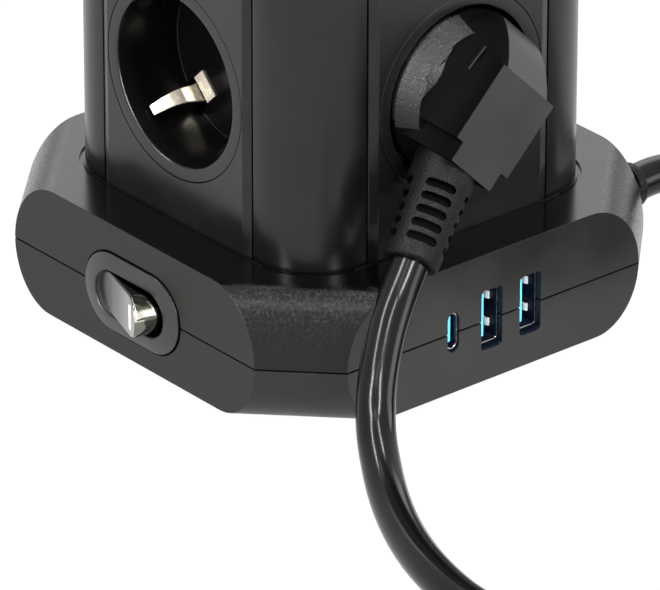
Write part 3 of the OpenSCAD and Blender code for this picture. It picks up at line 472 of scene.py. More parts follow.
# Painted light: a lighter grey for one end wall of the bezel's mouth
BEZEL_WALL = material("bezel_wall_painted_light", (0.055, 0.055, 0.055), 0.5)
# Rocker face: grey with painted light and shade, lighter towards -Y and darker towards +Y
ROCKER_GREY_PAINTED_LIGHT = material(
    "rocker_grey_painted_light", (0.43, 0.43, 0.42), 0.30, metal=0.85, rough_span=0.03, grain=0.15, grain_scale=300,
    grain_depth=0.02,
    shade=(1, ((-12, 1.0), (-7, 0.85), (2, 0.34), (11, 0.17))))
# Rocker sides: gloss metal with a painted reflection, a white band from 17.6 to 19.2 mm up and darker above
# and below
ROCKER_GLOSS_PAINTED_BAND = material(
    "rocker_gloss_painted_band", (0.93, 0.91, 0.76), 0.07, metal=1.0, rough_span=0.02,
    shade=(2, ((12, 0.16), (17.2, 0.24), (17.6, 0.95), (19.2, 1.0), (19.8, 0.18), (21.5, 0.06))))
PLUG_GRAIN = material(
    "plug_grain", (0.0050, 0.0048, 0.0042), 0.33, specular=0.28, grain=1.0, grain_scale=2600,
    grain_depth=0.16, sparkle=0.5, rough_span=0.1)
PLUG_SMOOTH = material(
    "plug_smooth", (0.016, 0.0166, 0.0175), 0.38, specular=0.30, grain=0.3, grain_scale=1000,
    grain_depth=0.02)
# Painted highlight: light grey for the edge band round the top of the grip
PLUG_PAINTED_HIGHLIGHT = material("plug_painted_highlight", (0.10, 0.10, 0.10), 0.30, grain=0.2, grain_scale=1000, grain_depth=0.02)
# Painted shade: near-black without reflection for the plug's hollow, neck and disc edge, the relief's slots
# and the tops of the socket ribs
PLUG_PAINTED_SHADE = material(
    "plug_painted_shade", (0.0012, 0.0012, 0.0012), 0.55, specular=0.02, grain=0.3, grain_scale=1000,
    grain_depth=0.02)
RELIEF_BLACK = material(
    "relief_black", (0.0030, 0.0029, 0.0026), 0.38, specular=0.10, grain=1.0, grain_scale=2400,
    grain_depth=0.18, sparkle=0.6, rough_span=0.12)
LEAD_BLACK = material(
    "lead_black", (0.0014, 0.0015, 0.0018), 0.17, specular=0.23, grain=0.15, grain_scale=500,
    grain_depth=0.015, rough_span=0.02)
NICKEL = material(
    "nickel", (0.86, 0.78, 0.64), 0.24, metal=0.55, rough_span=0.08, mottle=0.12, mottle_scale=400,
    grain=0.3, grain_scale=500, grain_depth=0.03)
OUTLET_STEEL = material(
    "outlet_steel", (0.55, 0.53, 0.50), 0.28, metal=1.0, mottle=0.1, mottle_scale=500, grain=0.2,
    grain_scale=900, grain_depth=0.01)
# Painted shade: near-black blue for the mouths cut in the shells and the insides of the outlet shells
OUTLET_PAINTED_SHADE = material(
    "outlet_painted_shade", (0.003, 0.005, 0.013), 0.35, specular=0.3, mottle=0.3, grain=0.1, grain_scale=900)
SPRING_STEEL = material("spring_steel", (0.85, 0.83, 0.80), 0.3, metal=0.35, mottle=0.1, mottle_scale=500)
# The blue tongue edge glows a little as painted light
BLUE = material(
    "blue_edge", (0.09, 0.58, 0.90), 0.3, grain=0.1, grain_scale=800, grain_depth=0.01, glow=0.25)
NAVY = material(
    "navy_tongue", (0.003, 0.010, 0.035), 0.4, specular=0.3, mottle=0.25, grain=0.1, grain_scale=800)
BRASS = material(
    "brass", (0.68, 0.47, 0.2), 0.3, metal=1.0, mottle=0.15, mottle_scale=300, grain=0.2,
    grain_scale=700, grain_depth=0.02)
STEEL = material(
    "steel", (0.5, 0.5, 0.5), 0.32, metal=1.0, mottle=0.12, mottle_scale=300, grain=0.2,
    grain_scale=900, grain_depth=0.02)
BOARD = material(
    "board", (0.02, 0.12, 0.05), 0.45, mottle=0.3, mottle_scale=200, grain=0.3, grain_scale=700)
INNER = material("inner_plastic", (0.45, 0.43, 0.38), 0.5, grain=0.3, grain_scale=900)
SHUTTER = material("shutter", (0.004, 0.004, 0.004), 0.4, specular=0.3, grain=0.2, grain_scale=900)
RUBBER = material("foot_rubber", (0.010, 0.010, 0.010), 0.75, grain=0.6, grain_scale=1500)
# The white of the on mark glows a little as painted light
MARK_WHITE = material(
    "mark_white", (0.9, 0.9, 0.88), 0.35, mottle=0.03, grain=0.1, grain_scale=900, glow=0.15)


# The lead's route, the same points as its solids
NEAR_ROUTE = [
    (-40, -66.7, 28.5), (-46.5, -71.7, 21.5), (-50.5, -76, 15), (-54.3, -81.8, 10.3),
    (-60.5, -92.5, 6.5), (-67, -106, 4.8), (-72.5, -121.5, 4.5), (-75.5, -138, 4.5),
    (-73.5, -154, 4.5), (-65, -168, 4.5), (-51, -177, 4.5), (-34, -180.5, 4.5),
    (-15, -180, 4.5), (4, -179, 4.5), (22, -178.3, 4.5), (36, -178, 4.5)]
FAR_ROUTE = [
    (106.5, -104, 12.8), (109, -88, 8.2), (111.4, -73, 5), (112, -60, 5.2),
    (109.4, -47, 7.6), (102, -36, 11.2), (91, -28.6, 14.9)]
COIL_X = 58.0
COIL_Y = -128.0
COIL_R = 50.0
COIL_STEP = 9.35
COIL_IN = 2.0
COIL_CLIMB = 0.5
COIL_TURNS = 4.25
COIL_STEPS = 48
LEAD_SIDES = 24
LEAD_IN = 4
RELIEF_L = 22
ROUTE_STEPS = 4
GLAND_END = BASE_HALF + GLAND_L


def coil_point(t):
    back = COIL_IN + COIL_CLIMB / 2
    r = COIL_R - COIL_STEP * (t if t < back else 2 * back - t)
    climb = min(max((t - COIL_IN) / COIL_CLIMB, 0), 1)
    z = LEAD_D / 2 + 0.1 + COIL_STEP * (1 - cos(180 * climb)) / 2
    return Vector((COIL_X + r * cos(360 * t - 90), COIL_Y + r * sin(360 * t - 90), z))


def spline(points, steps):
    path = []
    for i in range(len(points) - 1):
        p0 = points[max(i - 1, 0)]
        p1 = points[i]
        p2 = points[i + 1]
        p3 = points[min(i + 2, len(points) - 1)]
        for k in range(steps):
            t = k / steps
            path.append(0.5 * (
                2 * p1 + (p2 - p0) * t + (2 * p0 - 5 * p1 + 4 * p2 - p3) * t * t
                + (3 * p1 - p0 - 3 * p2 + p3) * t * t * t))
    return path + [points[-1]]


def tube(path, r, sides):
    rings = []
    for i, p in enumerate(path):
        ahead = (path[min(i + 1, len(path) - 1)] - path[max(i - 1, 0)]).normalized()
        side = Vector((0, 0, 1)).cross(ahead).normalized()
        lift = ahead.cross(side)
        rings.append([
            tuple(p + r * (cos(360 * k / sides) * side + sin(360 * k / sides) * lift)) for k in range(sides)])
    return stack(rings)


def make_lead():
    plug_end = RELIEF @ Vector((0, 0, RELIEF_L))
    heading = (RELIEF.to_3x3() @ Vector((0, 0, 1))).normalized()
    first = coil_point(0)
    last = coil_point(COIL_TURNS)
    near = [plug_end - heading * LEAD_IN, plug_end, plug_end + heading * LEAD_D]
    near += [Vector(p) for p in NEAR_ROUTE] + [first - Vector((LEAD_D, 0, 0)), first]
    far = [last, last + Vector((0, LEAD_D, 0))] + [Vector(p) for p in FAR_ROUTE]
    far += [Vector((GLAND_END + x, GLAND_Y, SEAM_Z)) for x in (LEAD_D, 0, -LEAD_IN)]
    count = round(COIL_TURNS * COIL_STEPS)
    coil = [coil_point(i / COIL_STEPS) for i in range(1, count)]
    path = spline(near, ROUTE_STEPS) + coil + spline(far, ROUTE_STEPS)
    lead = new_piece("supply_lead", *tube(path, LEAD_D / 2, LEAD_SIDES))
    return lead, [tuple(p * MM) for p in path]


# Base shells: eight-cornered sections that follow the rolled corner
ROLL_DEEP = SEAM_Z - BASE_Z
ROLL_TALL = BASE_TOP - SEAM_Z
LIP_UP = 1.4
BASE_SCREW_AT = 39.5
FOOT_AT = 30
# Length and width of the hole in the shells and of the seat of the bezel
SWITCH_HOLE = (30.7, 16.4)
SWITCH_SEAT = (34.1, 19.8)


def section(z, inset):
    deep, drawn = (ROLL_DEEP, ROLL_BOTTOM_IN) if z < SEAM_Z else (ROLL_TALL, ROLL_TOP_IN)
    drawn *= 1 - math.sqrt(max(1 - ((z - SEAM_Z) / deep) ** 2, 0))
    half = BASE_HALF - inset
    reach = CORNER_SUM - (drawn + inset) * math.sqrt(2) - half
    corners = [(half, -reach), (half, reach), (reach, half), (-reach, half),
               (-half, reach), (-half, -reach), (-reach, -half), (reach, -half)]
    return [(x, y, z) for x, y in corners]


def roll_levels(z0, z1, steps):
    levels = []
    for k in range(steps + 1):
        angle = 90 * k / steps
        lower = SEAM_Z - ROLL_DEEP * cos(angle)
        levels.append(lower if z1 <= SEAM_Z else SEAM_Z + ROLL_TALL * sin(angle))
    return [z0] + [z for z in levels if z0 + 0.05 < z < z1 - 0.05] + [z1]


# Finish of a shell's face: 0 flat side, 1 rolled corner, 2 mouth of an outlet in painted shade, 3 front with
# painted light, 4 ledge in painted shade
def flat_or_rolled(face):
    n = face.normal
    c = face.center / MM
    behind_front = -BASE_HALF + 0.12 < c.y < -BASE_HALF + 9
    at_outlets = -15 < c.x < 14 and abs(c.z - SEAM_Z) < 8
    if behind_front and at_outlets and max(abs(n.x), abs(n.z)) > 0.3:
        return 2
    if n.y < -0.995:
        return 3
    if n.z > 0.97:
        return 4
    return 0 if max(abs(n.x), abs(n.y)) > 0.995 else 1


# Across, width, height, corner, inset of the shell, width and height of the mouth, depth of the tongue
OUTLETS = [
    (-12.13, 3.1, 8.9, 1.5, 0.65, 3.25, 9.5, 1.87),
    (-0.9, 5.7, 13.1, 0.6, 1.5, 6.0, 14.5, 2.3),
    (10.4, 5.7, 13.1, 0.6, 1.5, 6.0, 14.5, 2.3)]
OUTLET_UP = 0.35
OUTLET_WALL = 0.35
OUTLET_C_BACK = -8.6
OUTLET_A_BACK = -15.1
TONGUE_T = 1.7


def base_openings():
    parts = []
    left = on_face("left", BASE_HALF, SEAM_Z)
    parts.append(moved(prism(stadium(*SWITCH_HOLE), -8, 3), left))
    parts.append(moved(prism(stadium(*SWITCH_SEAT), -1.4, 3), left))
    front = on_face("front", BASE_HALF, SEAM_Z)
    for x, w, h, r, inset, mouth_w, mouth_h, deep in OUTLETS:
        mouth = [(px + x, py + 0.2) for px, py in rounded_rect(mouth_w + 0.16, mouth_h + 0.2, r + 0.3)]
        inner = [(px + x, py + 0.2) for px, py in rounded_rect(mouth_w, mouth_h, r + 0.2)]
        steps = [ring_at(inner, -8), ring_at(inner, -0.25), ring_at(mouth, 0.02), ring_at(mouth, 3)]
        parts.append(moved(stack(steps), front))
    parts.append(moved(lathe([(0, -5), (5.9, -5), (5.9, 3), (0, 3)], 48), GLAND))
    return parts


def make_base():
    top_of_lower = SEAM_Z - SEAM_GAP / 2
    foot_of_upper = SEAM_Z + SEAM_GAP / 2
    lip_in = SHELL_T + 0.1
    lip_top = SEAM_Z + LIP_UP
    outer = [section(z, 0) for z in roll_levels(BASE_Z, top_of_lower, 14)]
    inner = [section(z, lip_in + 1) for z in (lip_top, SEAM_Z - 4, SEAM_Z - 8, BASE_Z + SHELL_T)]
    lip = [section(top_of_lower, lip_in), section(lip_top, lip_in)]
    lower = new_piece("lower_shell", *stack(outer + lip + inner))
    outer = [section(z, 0) for z in roll_levels(foot_of_upper, BASE_TOP, 16)]
    inner = [section(z, SHELL_T) for z in (BASE_TOP - SHELL_T, BASE_TOP - 6, BASE_TOP - 10, foot_of_upper)]
    upper = new_piece("upper_shell", *stack(inner + outer))
    bevel(lower, 0.35)
    bevel(upper, 0.55, 3)
    for part in base_openings():
        combine(lower, part)
        combine(upper, part)
    screw_well = [(0, BASE_Z - 1), (3.3, BASE_Z - 1), (2.95, BASE_Z + 0.3), (2.95, BASE_Z + 2.4),
                  (0, BASE_Z + 2.4)]
    for x in (-BASE_SCREW_AT, BASE_SCREW_AT):
        for y in (-BASE_SCREW_AT, BASE_SCREW_AT):
            combine(lower, moved(lathe(screw_well, 32), shift(x, y, 0)))
    groove = ((0.5, -0.6), (0.5, 1), (1.6, 1), (1.3, -0.6), (0.5, -0.6))
    combine(upper, stack([
        ring_at(rounded_square(POST_HALF + wider, POST_R + wider), BASE_TOP + up) for wider, up in groove],
        (False, False)))
    settle(lower, "root", "smooth_shell", SMOOTH_BLACK, LOWER_BLACK, OUTLET_PAINTED_SHADE, FRONT_PAINTED_LIGHT, LOWER_BLACK,
           replaces=("base_lower_shell",), pick=flat_or_rolled)
    settle(upper, "root", "grained_shell", SMOOTH_BLACK, GRAIN_BLACK, OUTLET_PAINTED_SHADE, FRONT_PAINTED_LIGHT, LEDGE_PAINTED_SHADE,
           replaces=("base_upper_shell",), pick=flat_or_rolled)


def make_feet():
    foot = [(0, 0.3), (3.6, 0.3), (4.0, 0.0), (5.1, 0.0), (5.5, 0.4), (5.5, 3.0), (0, 3.0)]
    spots = [(x, y) for x in (-FOOT_AT, FOOT_AT) for y in (-FOOT_AT, FOOT_AT)]
    feet = new_piece("feet", *joined(*[moved(lathe(foot, 40), shift(x, y, 0)) for x, y in spots]))
    settle(feet, "root", "foot_rubber", RUBBER, replaces=("rubber_feet",))


# Column: corner posts, panels, cap
PANEL_INNER_HALF = 23.9
CAP_SCREW_AT = 33.5


def post_outline():
    p = PANEL_HALF_W + PANEL_GAP / 2
    h = POST_HALF
    c = POST_HALF - POST_R
    t1 = RIM_T + 0.15
    t2 = t1 + 1.8
    near = [(p + 1.2, h - POST_T), (p + 1.2, h - t2), (p - 2.1, h - t2), (p - 2.1, h - t1), (p, h - t1),
            (p, h)]
    outer = arc(c, c, POST_R, 90, 0, 28)
    inner = arc(c, c, POST_R - POST_T, 0, 90, 20)
    return near + outer + [(y, x) for x, y in near[::-1]] + inner


def make_posts():
    part = prism(post_outline(), BASE_TOP, COLUMN_TOP)
    four = [moved(part, turn_z(turn)) for turn in (0, 90, 180, 270)]
    posts = new_piece("corner_posts_skin", *joined(*four))
    bevel(posts, 0.3, 2, 40)
    settle(posts, "root", "grained_shell", POST_BLACK, replaces=("corner_posts",))


def make_panels():
    edge = PANEL_HALF_W - PANEL_GAP / 2
    back = -POST_HALF + RIM_T
    half = [(FIELD_HALF_W, -PANEL_OUT), (edge, -POST_HALF), (edge, back), (PANEL_INNER_HALF, back),
            (PANEL_INNER_HALF, -PANEL_OUT + 4)]
    outline = half + [(-x, y) for x, y in half[::-1]]
    first = new_piece("panel", *prism(outline, BASE_TOP, COLUMN_TOP))
    bevel(first, 0.22, 2, 15)
    for z in SOCKET_Z.values():
        hole = [(0, 1), (FLANGE_R + 0.3, 1), (FLANGE_R + 0.15, -0.15), (FLANGE_R + 0.15, -FLANGE_T),
                (CUP_R + 0.15, -FLANGE_T), (CUP_R + 0.15, -5), (0, -5)]
        combine(first, moved(lathe(hole, FINE_STEPS), on_face("front", PANEL_OUT, z)))
    for side in SIDES:
        piece = copied(first, "panel_skin_" + side, turn_z(SIDES[side]))
        settle(piece, "root", "panel", PANEL_BLACK, PANEL_RIM, replaces=("panel_" + side,),
               pick=field_or_rim(side))
    drop(first)


def field_or_rim(side):
    along = turn_z(SIDES[side]) @ Vector((1, 0, 0))

    def pick(face):
        return 1 if abs(face.center.dot(along)) > (FIELD_HALF_W + 0.1) * MM else 0
    return pick


def make_cap():
    levels = [(0.5, COLUMN_TOP), (0.5, COLUMN_TOP + 0.3), (0.15, COLUMN_TOP + 0.35), (0, COLUMN_TOP + 0.6),
              (0, PART_TOP - 4.6), (0.15, PART_TOP - 3.9), (0.6, PART_TOP - 3.2), (3.3, PART_TOP - 0.5),
              (3.9, PART_TOP - 0.1), (4.6, PART_TOP)]
    rings = [ring_at(rounded_square(POST_HALF - i, POST_R - i, 16), z) for i, z in levels]
    cap = new_piece("cap_skin", *stack(rings))
    well = [(0, PART_TOP - 1.8), (2.95, PART_TOP - 1.8), (2.95, PART_TOP - 0.3), (3.3, PART_TOP + 0.05),
            (3.3, PART_TOP + 1), (0, PART_TOP + 1)]
    for x in (-CAP_SCREW_AT, CAP_SCREW_AT):
        for y in (-CAP_SCREW_AT, CAP_SCREW_AT):
            combine(cap, moved(lathe(well, 32), shift(x, y, 0)))
    settle(cap, "root", "grained_shell", GRAIN_BLACK, replaces=("top_cap",))


# Sockets: each has two guide ribs, two contact holes and two slots for the earth clip
RIB_IN = 18.0
RIB_OUT = 20.7
RIB_HALF = 2.3
RIB_TOP = -3.0
HOLE_R = 2.7
HOLE_MOUTH_R = 3.1
EARTH_SLOT = (17.6, 20.05, -3.8, 3.8)
CLIP_T = 0.8


def cup_mesh():
    floor = -RECESS_D
    profile = [(0, floor), (RECESS_R - 0.2, floor), (RECESS_R - 0.03, floor + 0.17),
               (RECESS_R, -0.6), (RECESS_R + 0.06, -0.3), (RECESS_R + 0.2, -0.08), (RECESS_R + 0.45, 0.0),
               (FLANGE_R - 0.22, 0.0), (FLANGE_R - 0.06, -0.06), (FLANGE_R, -0.22), (FLANGE_R, -FLANGE_T),
               (CUP_R, -FLANGE_T), (CUP_R, -CUP_BACK), (RECESS_R, -CUP_BACK),
               (RECESS_R, floor - FLOOR_T), (0, floor - FLOOR_T)]
    cup = new_piece("cup", *lathe(profile, FINE_STEPS))

    def rib_ring(x, z):
        return [(x, -RIB_HALF, z), (RIB_OUT, -RIB_HALF, z), (RIB_OUT, RIB_HALF, z), (x, RIB_HALF, z)]
    rib = stack([rib_ring(RIB_IN, floor - 0.5), rib_ring(RIB_IN, RIB_TOP), rib_ring(20.1, RIB_TOP + 1)])
    for a in (PIN_TURN, PIN_TURN + 180):
        combine(cup, moved(rib, turn_z(a)), "UNION")
    hole = lathe([(0, -CUP_BACK), (HOLE_R, -CUP_BACK), (HOLE_R, floor - 0.5), (HOLE_MOUTH_R, floor + 0.05),
                  (HOLE_MOUTH_R, floor + 1), (0, floor + 1)], 40)
    for a in (PIN_TURN, PIN_TURN + 180):
        combine(cup, moved(hole, turn_z(a) @ shift(PIN_AT, 0, 0)))
    for a in (EARTH_TURN, EARTH_TURN + 180):
        combine(cup, moved(box(*EARTH_SLOT, -20, floor + 1), turn_z(a)))
    tidy_mesh(cup)
    return cup


def bent_sheet(line, tip, root, thick):
    points = spline([Vector((x, 0, z)) for x, z in line], 5)
    rings = []
    for i, p in enumerate(points):
        ahead = (points[min(i + 1, len(points) - 1)] - points[max(i - 1, 0)]).normalized()
        out = ahead.cross(Vector((0, 1, 0))).normalized()
        half = (tip + (root - tip) * i / (len(points) - 1)) / 2
        corners = ((-1, 0), (1, 0), (1, thick), (-1, thick))
        rings.append([tuple(p + Vector((0, s * half, 0)) + out * t) for s, t in corners])
    return stack(rings)


def clip_mesh():
    arm = [(19.4, -4.8), (17.7, -6.3), (16.3, -8.0), (15.7, -10.2), (16.5, -13.0), (17.7, -15.6),
           (18.1, -17.6), (18.1, -21.9)]
    parts = []
    for a in (EARTH_TURN, EARTH_TURN + 180):
        parts.append(moved(bent_sheet(arm, 2.35, 4.7, -CLIP_T), turn_z(a)))
        parts.append(moved(box(12.5, 16.2, -3.3, 3.3, -17.3, -16.75), turn_z(a)))
        parts.append(moved(box(-1, 18.4, -3.4, 3.4, -22.6, -21.8), turn_z(a)))
    clip = new_piece("clip", *joined(*parts))
    bevel(clip, 0.16, 2, 50)
    return clip


def make_sockets():
    cup = cup_mesh()
    clip = clip_mesh()
    for side in SIDES:
        for row in SOCKET_Z:
            place = in_metres(at_socket(side, row))
            tail = side + "_" + row
            piece = copied(cup, "cup_skin_" + tail, place)
            settle(piece, "root", "gloss_cup", GLOSS_BLACK, PANEL_BLACK, PLUG_PAINTED_SHADE,
                   replaces=("cup_" + tail,), pick=flange_or_recess(side))
            piece = copied(clip, "clip_skin_" + tail, place)
            settle(piece, "root", "nickel", NICKEL, replaces=("clip_" + tail,))
    drop(cup)
    drop(clip)


# Flange faces get the panel's black; faces down in the recess that face out, such as the tops of the ribs,
# get painted shade
def flange_or_recess(side):
    outward = turn_z(SIDES[side]) @ Vector((0, -1, 0))

    def pick(face):
        out = face.center.dot(outward) / MM
        if out > PANEL_OUT - 0.45:
            return 1
        return 2 if out > PANEL_OUT - 6 and face.normal.dot(outward) > 0.5 else 0
    return pick


# Switch: bezel with a raised inner rim, round-ended rocker with a dished face
BEZEL_MOUTH_HALF = 6.47
BEZEL_MOUTH_R = 5.7
BEZEL_EDGE_HALF = 7.15
BEZEL_EDGE_R = 9.33
BEZEL_WALL_END = BASE_HALF - 3.2
ROCKER_L = 22.3
ROCKER_W = 10.4
DISH_R = 75.0
MARK_AT = 7.3
MARK_SIZE = (1.5, 5.9)


def face_height(x):
    at_end = math.sqrt(DISH_R * DISH_R - ROCKER_L * ROCKER_L / 4)
    return ROCKER_FACE + at_end - math.sqrt(DISH_R * DISH_R - x * x)


def rocker_outline(inset):
    return stadium(ROCKER_L - 2 * inset, ROCKER_W - 2 * inset, 24)


def make_switch():
    bezel_rings = [
        (30.4, 16.1, -18), (30.4, 16.1, -1.2), (33.4, 19.1, -1.2), (33.4, 19.1, 0.15), (33.1, 18.8, 0.4),
        (31.5, 17.4, 0.62), (28.5, 14.8, 0.95), (26.0, 12.8, 1.15), (24.6, 11.6, 1.2), (24.15, 11.2, 1.05),
        (23.94, 11.0, 0.7), (23.94, 11.0, -3.0), (23.94, 11.0, -15)]
    left = on_face("left", BASE_HALF, SEAM_Z)
    rings = [ring_at(stadium(l, w, 24), z) for l, w, z in bezel_rings]
    bezel = new_piece("bezel", *moved(stack(rings), left))

    # Faces at the bezel's outer edge and deep in its mouth get gloss black as painted shade, and one end wall
    # of the mouth a lighter grey as painted light
    def pick(face):
        c = face.center / MM
        inside = math.hypot(max(abs(c.y) - BEZEL_MOUTH_HALF, 0), c.z - SEAM_Z) < BEZEL_MOUTH_R
        if inside and -c.x < BASE_HALF and c.y > 6.5 and -c.x > BEZEL_WALL_END:
            return 2
        at_edge = math.hypot(max(abs(c.y) - BEZEL_EDGE_HALF, 0), c.z - SEAM_Z) > BEZEL_EDGE_R
        return 1 if at_edge or inside and -c.x < BEZEL_WALL_END else 0
    settle(bezel, "root", "switch", BEZEL_GREY, GLOSS_BLACK, BEZEL_WALL,
           replaces=("switch_housing",), pick=pick)
    rings = []
    for inset, drop_by in ((0.5, 6.3), (0.35, 5.6), (0.0, 0.75), (0.08, 0.35), (0.3, 0.08), (0.6, 0.0)):
        at_face = drop_by < 5
        rings.append([
            (x, y, (face_height(x) if at_face else ROCKER_FACE) - drop_by) for x, y in rocker_outline(inset)])
    for inset in (1.3, 2.2, 3.2, 4.2, 5.0):
        rings.append([(x, y, face_height(x)) for x, y in rocker_outline(inset)])
    rocker = new_piece("rocker_skin", *moved(stack(rings), ROCKER))
    axis = (ROCKER.to_3x3() @ Vector((0, 0, 1))).normalized()
    settle(rocker, "rocker", "switch", ROCKER_GREY_PAINTED_LIGHT, ROCKER_GLOSS_PAINTED_BAND, replaces=("switch_rocker",),
           pick=lambda face: 0 if face.normal.dot(axis) > 0.8 else 1, angle=50)
    bar = rounded_rect(*MARK_SIZE, 0.15, 3)
    rings = [[(x + MARK_AT, y, face_height(MARK_AT) + z) for x, y in bar] for z in (-0.3, 0.05)]
    settle(new_piece("on_mark", *moved(stack(rings), ROCKER)), "rocker", "switch", MARK_WHITE)


# Charging outlets
def make_outlets():
    front = on_face("front", BASE_HALF, SEAM_Z + OUTLET_UP)
    outward = Vector((0, -1, 0))
    shells_a = []
    springs = []
    tongues = []

    # Faces inside each shell get painted shade
    def rim_or_inside(face):
        return 0 if face.normal.dot(outward) > 0.6 and face.center.y < -0.9 * BASE_HALF * MM else 1

    def edge_or_side(face):
        return 0 if face.normal.dot(outward) > 0.5 else 1
    for x, w, h, r, inset, mouth_w, mouth_h, deep in OUTLETS:
        small = w < 4
        back = OUTLET_C_BACK if small else OUTLET_A_BACK
        inner_w = w - 2 * OUTLET_WALL
        inner_h = h - 2 * OUTLET_WALL
        inner_r = max(r - OUTLET_WALL, 0.2)
        outer = rounded_rect(w, h, r)
        inner = rounded_rect(inner_w, inner_h, inner_r)
        rings = [ring_at(outer, back), ring_at(outer, -inset - 0.08),
                 ring_at(rounded_rect(w - 0.12, h - 0.12, r), -inset),
                 ring_at(rounded_rect(inner_w + 0.12, inner_h + 0.12, inner_r), -inset),
                 ring_at(inner, -inset - 0.1), ring_at(inner, back + 0.35)]
        shell = moved(stack(rings), front @ shift(x, 0, 0))
        if small:
            settle(new_piece("outlet_c", *shell), "root", "outlet_shell", OUTLET_STEEL, OUTLET_PAINTED_SHADE,
                   replaces=("usb_c_shell",), pick=rim_or_inside)
            tongue = stack([ring_at(rounded_rect(0.95, 6.5, 0.4, 4), z) for z in (back + 0.2, -deep)])
            tongues.append(moved(tongue, front @ shift(x + 0.1, 0, 0)))
            continue
        shells_a.append(shell)
        rings = []
        levels = ((TONGUE_T, 11.0, back + 0.2), (TONGUE_T, 11.0, -deep - 0.9), (0.95, 10.6, -deep))
        for thick, tall, z in levels:
            outline = rounded_rect(thick, tall, 0.12, 3)
            rings.append([(px + (thick - TONGUE_T) / 2, py, z) for px, py in outline])
        tongues.append(moved(stack(rings), front @ shift(x - 0.65, 0, 0)))
        for s in (-1, 1):
            line = [(0.0, -9.0), (-0.1, -6.8), (-0.55, -5.0), (-0.65, -4.3), (-0.2, -3.5)]
            spring = bent_sheet([(px + 2.5, pz) for px, pz in line], 1.8, 1.8, 0.3)
            springs.append(moved(spring, front @ shift(x, s * 3.35 + 0.3, 0)))
    settle(new_piece("outlets_a", *joined(*shells_a)), "root", "outlet_shell", OUTLET_STEEL, OUTLET_PAINTED_SHADE,
           replaces=("usb_a_shells",), pick=rim_or_inside)
    settle(new_piece("outlet_springs", *joined(*springs)), "root", "outlet_shell", SPRING_STEEL)
    settle(new_piece("tongues", *joined(*tongues)), "root", "blue_tongue", BLUE, NAVY,
           replaces=("usb_tongues",), pick=edge_or_side)


# Plug in its own frame: X along the lead, Y along the pins, Z out
PLUG_FACE = -16.9
DISC_R = 19.3
GRIP_TOP = 16.2
GRIP_LIP = 15.6
GRIP_FRONT = 10.9
NECK_W = 7.8
NECK_BACK = 4
NECK_END = 15.6
NECK_FOOT = 4.6
HOLLOW = 2.1
PIN_R = 2.4
PIN_L = 19
# Inner and outer radius and half width of the notches at the disc's edge
GUIDE_NOTCH = (17.7, 21, -2.6, 2.6)
EARTH_NOTCH = (15.2, 21, -3.8, 3.8)
# The grained field begins this far from the middle line and slopes towards the lead; nearer the middle line
# lies painted shade
FIELD_AT = 15
FIELD_SLOPE = 0.06
# Foot and top of each upright line of the grip's side, from the back to the front
GRIP_LINES = [
    ((-18.5, 5.6, 2.3), (-8.1, 9.8)),
    ((-14.3, 11.7, 2.3), (-8.0, 10.3)),
    ((-6.9, 14.9, 4.6), (-4.6, 10.3)),
    ((0.5, 16.3, 5.1), (0.5, 10.3)),
    ((3.2, 16.5, 4.8), (3.2, 10.3)),
    ((GRIP_FRONT, 12.4, 4.6), (GRIP_FRONT, 10.3))]
# How late each of these lines leans in towards its top
GRIP_LEAN = [1.8, 1.3, 1, 1, 1, 1]
GRIP_STEPS = 9


def grip_side(t):
    side = []
    for k, (foot, top) in enumerate(GRIP_LINES):
        z = foot[2] + (GRIP_LIP - foot[2]) * t
        x = top[0] + (foot[0] - top[0]) * (1 - t ** GRIP_LEAN[k])
        y = top[1] + (foot[1] - top[1]) * (1 - t) ** HOLLOW
        if k == 0:
            y = 5.8 + 1.4 * (z - 2.3) / 3.3 if z < 5.6 else 7.2 + 0.9 * (z - 5.6) / (GRIP_LIP - 5.6)
        side.append((x, y, z))
    return side


def whole_ring(side):
    return [(x, -y, z) for x, y, z in side] + side[::-1]


def split_along(piece, planes):
    work = bmesh.new()
    work.from_mesh(piece.data)
    for point, normal in planes:
        every = work.verts[:] + work.edges[:] + work.faces[:]
        bmesh.ops.bisect_plane(
            work, geom=every, dist=1e-7, plane_co=Vector(point) * MM, plane_no=Vector(normal))
    work.to_mesh(piece.data)
    work.free()


